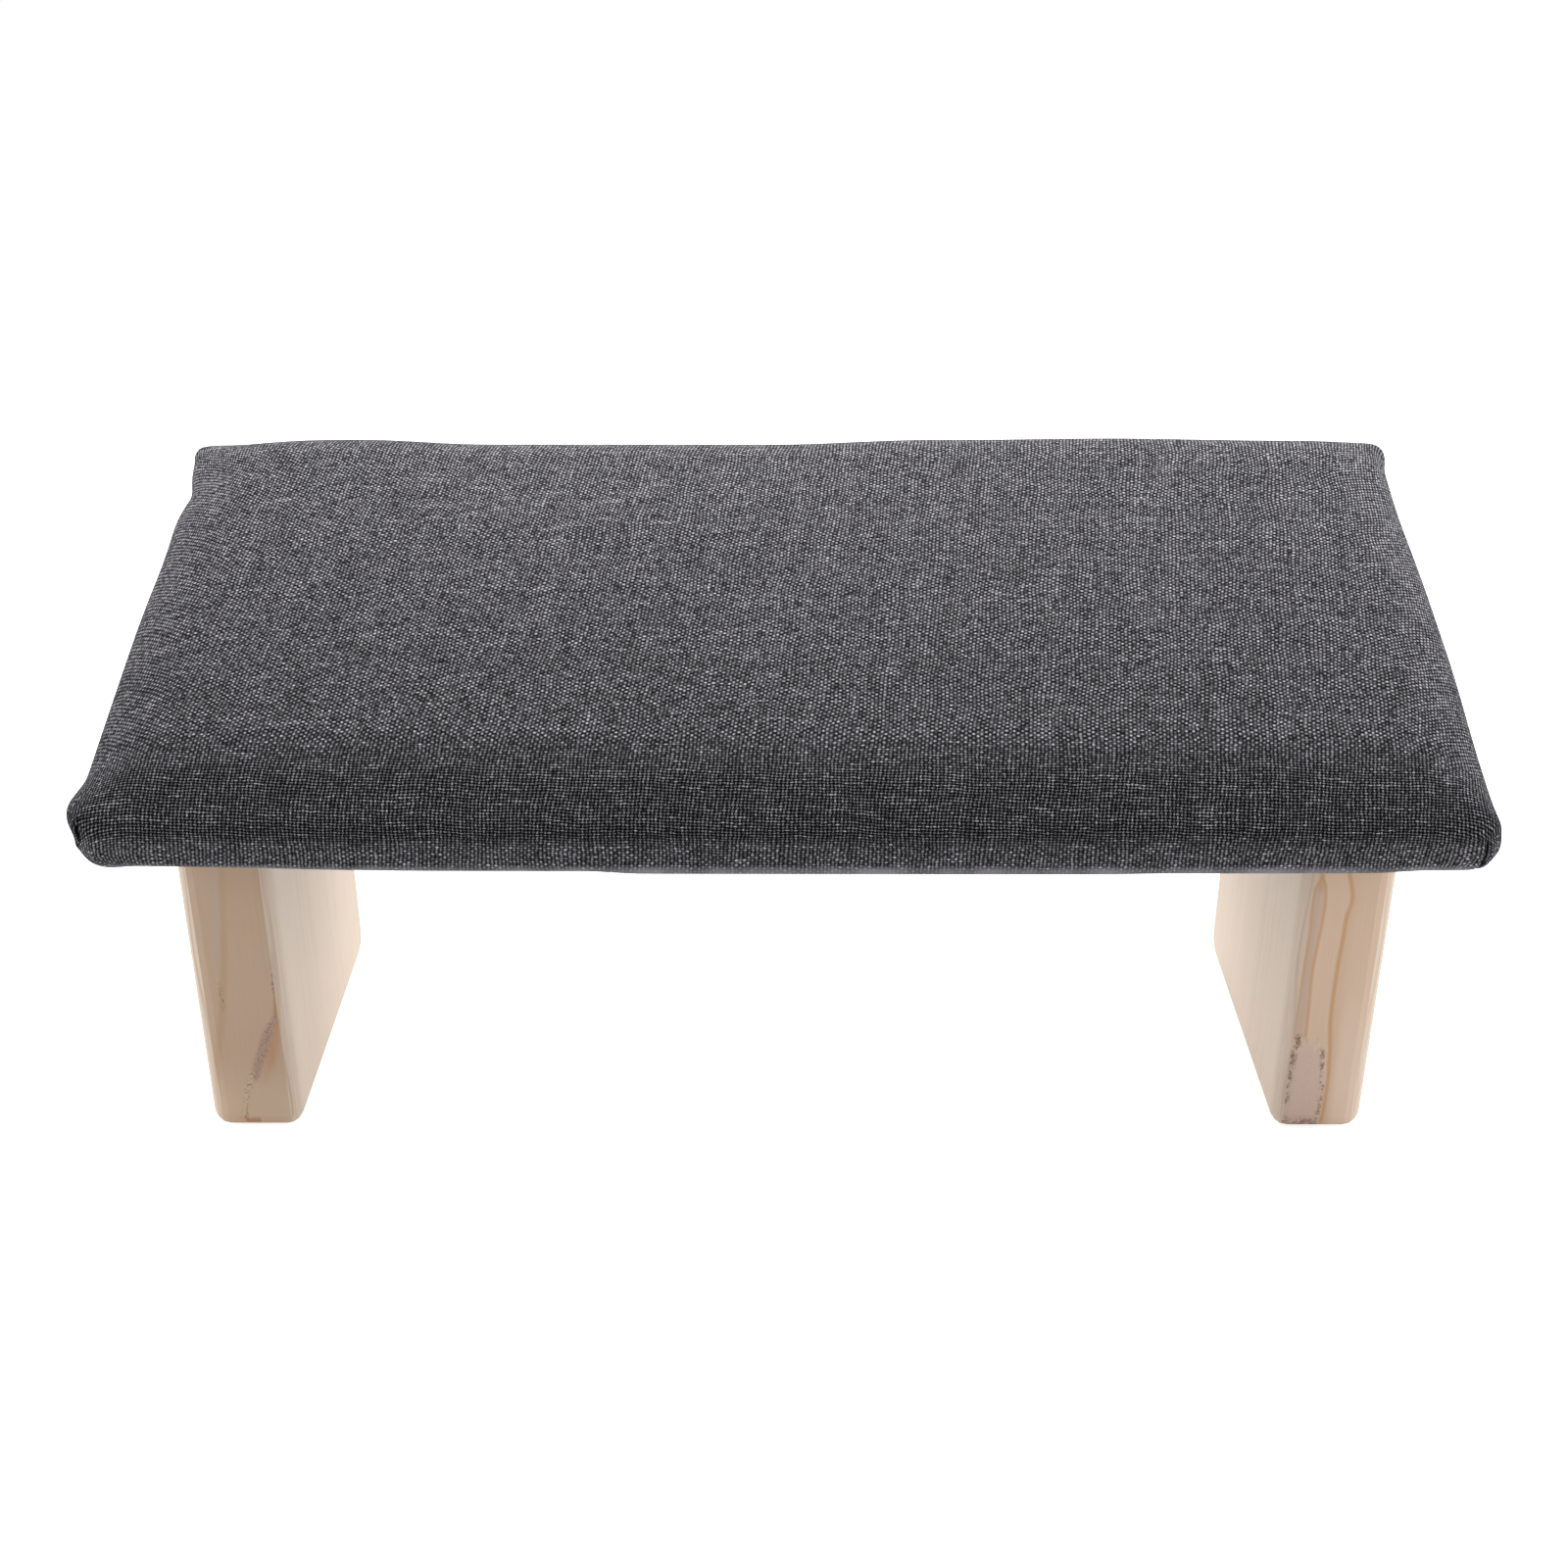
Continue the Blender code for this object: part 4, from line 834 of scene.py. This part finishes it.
def make_cover(material):
    """The upholstery cloth, from the crowned top down to the hem under the seat."""
    points, faces, cloth, fold, _ = block_surface(ROLL_LINES, TOP_SPACING, wall_path())
    cover = mesh_object("upholstery", points, faces, material, cloth)
    layer = cover.data.attributes.new("fold", "FLOAT_VECTOR", "POINT")
    layer.data.foreach_set("vector", fold.astype(np.float32).ravel())
    wall = cover.modifiers.new("cloth", "SOLIDIFY")
    wall.thickness = CLOTH_THICKNESS
    wall.offset = -1
    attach(cover, "seat")
    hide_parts("fabric_cover")


def make_foam(material):
    """The foam block, which fills the cloth down to the board."""
    bottom = seat_box("foam_pad")[0][2]
    path = [(0.0, height) for height in np.linspace(SIDE_TOP, bottom, FOAM_WALL_LINES + 1)[1:]]
    points, faces, _, _, last_ring = block_surface(FOAM_ROLL_LINES, FOAM_SPACING, path)
    foam = mesh_object("foam_block", points, faces.tolist() + [last_ring[::-1].tolist()], material)
    normals = np.array([v.normal for v in foam.data.vertices])
    upward = np.array(SEAT.to_3x3())[:, 2]
    at_bottom = points[:, 2] < bottom + FOAM_INSET
    normals[at_bottom] -= np.outer(normals[at_bottom] @ upward, upward)
    for vertex, normal in zip(foam.data.vertices, normals):
        vertex.co -= Vector(normal) * FOAM_INSET
    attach(foam, "seat")
    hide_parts("foam_pad")


def make_dust_cover(material):
    """The black cloth under the seat, stapled over the hem: slack in the middle and between the staples."""
    high = seat_box("dust_cover")[1]
    half_x = high[0]
    half_y = high[1]
    columns = np.linspace(-half_x, half_x, DUST_COVER_COLUMNS)
    rows = np.linspace(-half_y, half_y, DUST_COVER_ROWS)
    x, y = (places.ravel() for places in np.meshgrid(columns, rows))
    between = np.clip(1 - (x / HINGE_FREE_HALF) ** 2, 0, 1)
    sag = DUST_COVER_SAG * between * (1 - (y / half_y) ** 2)
    from_edge = np.minimum(half_x - np.abs(x), half_y - np.abs(y))
    held = np.zeros_like(x)
    for name in frame["nodes"]:
        if name.startswith("staple"):
            middle = sum(seat_box(name)) / 2
            away = np.hypot(x - middle[0], y - middle[1])
            held = np.maximum(held, bump_at(away, 0, STAPLE_REACH))
    sag += EDGE_SAG * (1 - held) * (1 - smooth_step(from_edge, 0, EDGE_SAG_REACH))
    x, y = round_corners(x, y, half_x, half_y)
    level = high[2] - DUST_COVER_THICKNESS / 2 - DUST_COVER_CLEARANCE
    points = np.stack([x, y, level - sag], 1)
    cover = mesh_object("dust_cover_cloth", points, grid_faces(DUST_COVER_COLUMNS, DUST_COVER_ROWS), material)
    wall = cover.modifiers.new("cloth", "SOLIDIFY")
    wall.thickness = DUST_COVER_THICKNESS
    wall.offset = 0
    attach(cover, "seat")
    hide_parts("dust_cover")


def aim(place, target):
    """The matrix of a lamp or camera at a place that looks at a target."""
    turn = (Vector(target) - Vector(place)).to_track_quat("-Z", "Y")
    return Matrix.Translation(place) @ turn.to_matrix().to_4x4()


def make_camera():
    """The photograph's viewpoint, fixed to the seat's frame."""
    pitch = math.cos(CAMERA_PITCH)
    forward = Vector((math.sin(CAMERA_YAW) * pitch, math.cos(CAMERA_YAW) * pitch, -math.sin(CAMERA_PITCH)))
    right = forward.cross(Vector((0, 0, 1))).normalized()
    up = right.cross(forward)
    turn = Matrix((right, up, -forward)).transposed().to_4x4()
    data = bpy.data.cameras.new("camera")
    data.sensor_width = SENSOR_WIDTH
    data.lens = data.sensor_width * FOCAL_LENGTH_IN_PIXELS / PICTURE_SIDE
    data.clip_start = 0.01
    data.clip_end = 100
    camera = bpy.data.objects.new("camera", data)
    bpy.context.scene.collection.objects.link(camera)
    camera.matrix_world = SEAT @ Matrix.Translation(CAMERA_PLACE) @ turn
    bpy.context.scene.camera = camera


def area_lamp(name, place, target, size, power):
    data = bpy.data.lights.new(name, "AREA")
    data.shape = "RECTANGLE"
    data.size, data.size_y = size
    data.energy = power
    lamp = bpy.data.objects.new(name, data)
    bpy.context.scene.collection.objects.link(lamp)
    lamp.matrix_world = aim(place, target)


def make_stage():
    """A pale floor that keeps the shadow, a white surround and soft lamps."""
    nodes = Nodes("floor")
    tree = nodes.tree
    nodes.finish(FLOOR_COLOR, 0.9, Specular_IOR_Level=0.0)
    path = nodes.add("LightPath", {})
    straight = nodes.math("MAXIMUM", path.outputs["Is Camera Ray"], path.outputs["Is Glossy Ray"])
    straight = nodes.math("MAXIMUM", straight, path.outputs["Is Transmission Ray"])
    glow_strength = nodes.math("MULTIPLY", straight, FLOOR_GLOW)
    glow = nodes.add("Emission", {"Color": WHITE, "Strength": glow_strength})
    both = nodes.add("AddShader", {0: nodes.shader.outputs[0], 1: glow.outputs[0]})
    output = next(n for n in tree.nodes if n.type == "OUTPUT_MATERIAL")
    tree.links.new(both.outputs[0], output.inputs["Surface"])
    bpy.ops.mesh.primitive_plane_add(size=FLOOR_SIDE, location=(0, 0, FLOOR_LEVEL))
    floor = bpy.context.object
    floor.name = "floor"
    floor.data.materials.append(nodes.material)

    world = bpy.data.worlds.new("surround")
    bpy.context.scene.world = world
    world.use_nodes = True
    tree = world.node_tree
    background = tree.nodes["Background"]
    light_path = tree.nodes.new("ShaderNodeLightPath")
    seen = tree.nodes.new("ShaderNodeMath")
    seen.operation = "MAXIMUM"
    tree.links.new(light_path.outputs["Is Camera Ray"], seen.inputs[0])
    tree.links.new(light_path.outputs["Is Glossy Ray"], seen.inputs[1])
    strength = tree.nodes.new("ShaderNodeMapRange")
    strength.inputs["To Min"].default_value = SURROUND_LIGHT
    strength.inputs["To Max"].default_value = 1.0
    tree.links.new(seen.outputs[0], strength.inputs["Value"])
    tree.links.new(strength.outputs["Result"], background.inputs["Strength"])
    background.inputs["Color"].default_value = WHITE

    for lamp in LAMPS:
        area_lamp(*lamp)


def dress_nodes():
    """Gives each CAD node that stays in view its material."""
    materials = {
        # The left leg's front is darker than the right's in painted shade; their grain differs too.
        "left_leg": pine_material("pine_left", LEFT_FRONT_TONE_AND_SHADE, left_front),
        "right_leg": pine_material("pine_right", RIGHT_FRONT_TONE_AND_SHADE, right_front),
        "seat_board": plywood_material(),
        "staple": steel_material("staple_wire", (0.70, 0.70, 0.71), 0.30),
        "hardware": steel_material("zinc_plate", (0.62, 0.61, 0.58), 0.36),
    }
    for name, node in frame["nodes"].items():
        kind = "staple" if name.startswith("staple") else "hardware"
        chosen = materials.get(name, materials[kind])
        node.data.materials.clear()
        node.data.materials.append(chosen)


make_camera()
make_cover(linen_material())
make_foam(foam_material())
make_dust_cover(dust_cloth_material())
dress_nodes()
make_stage()
bpy.context.scene.view_settings.view_transform = "Standard"
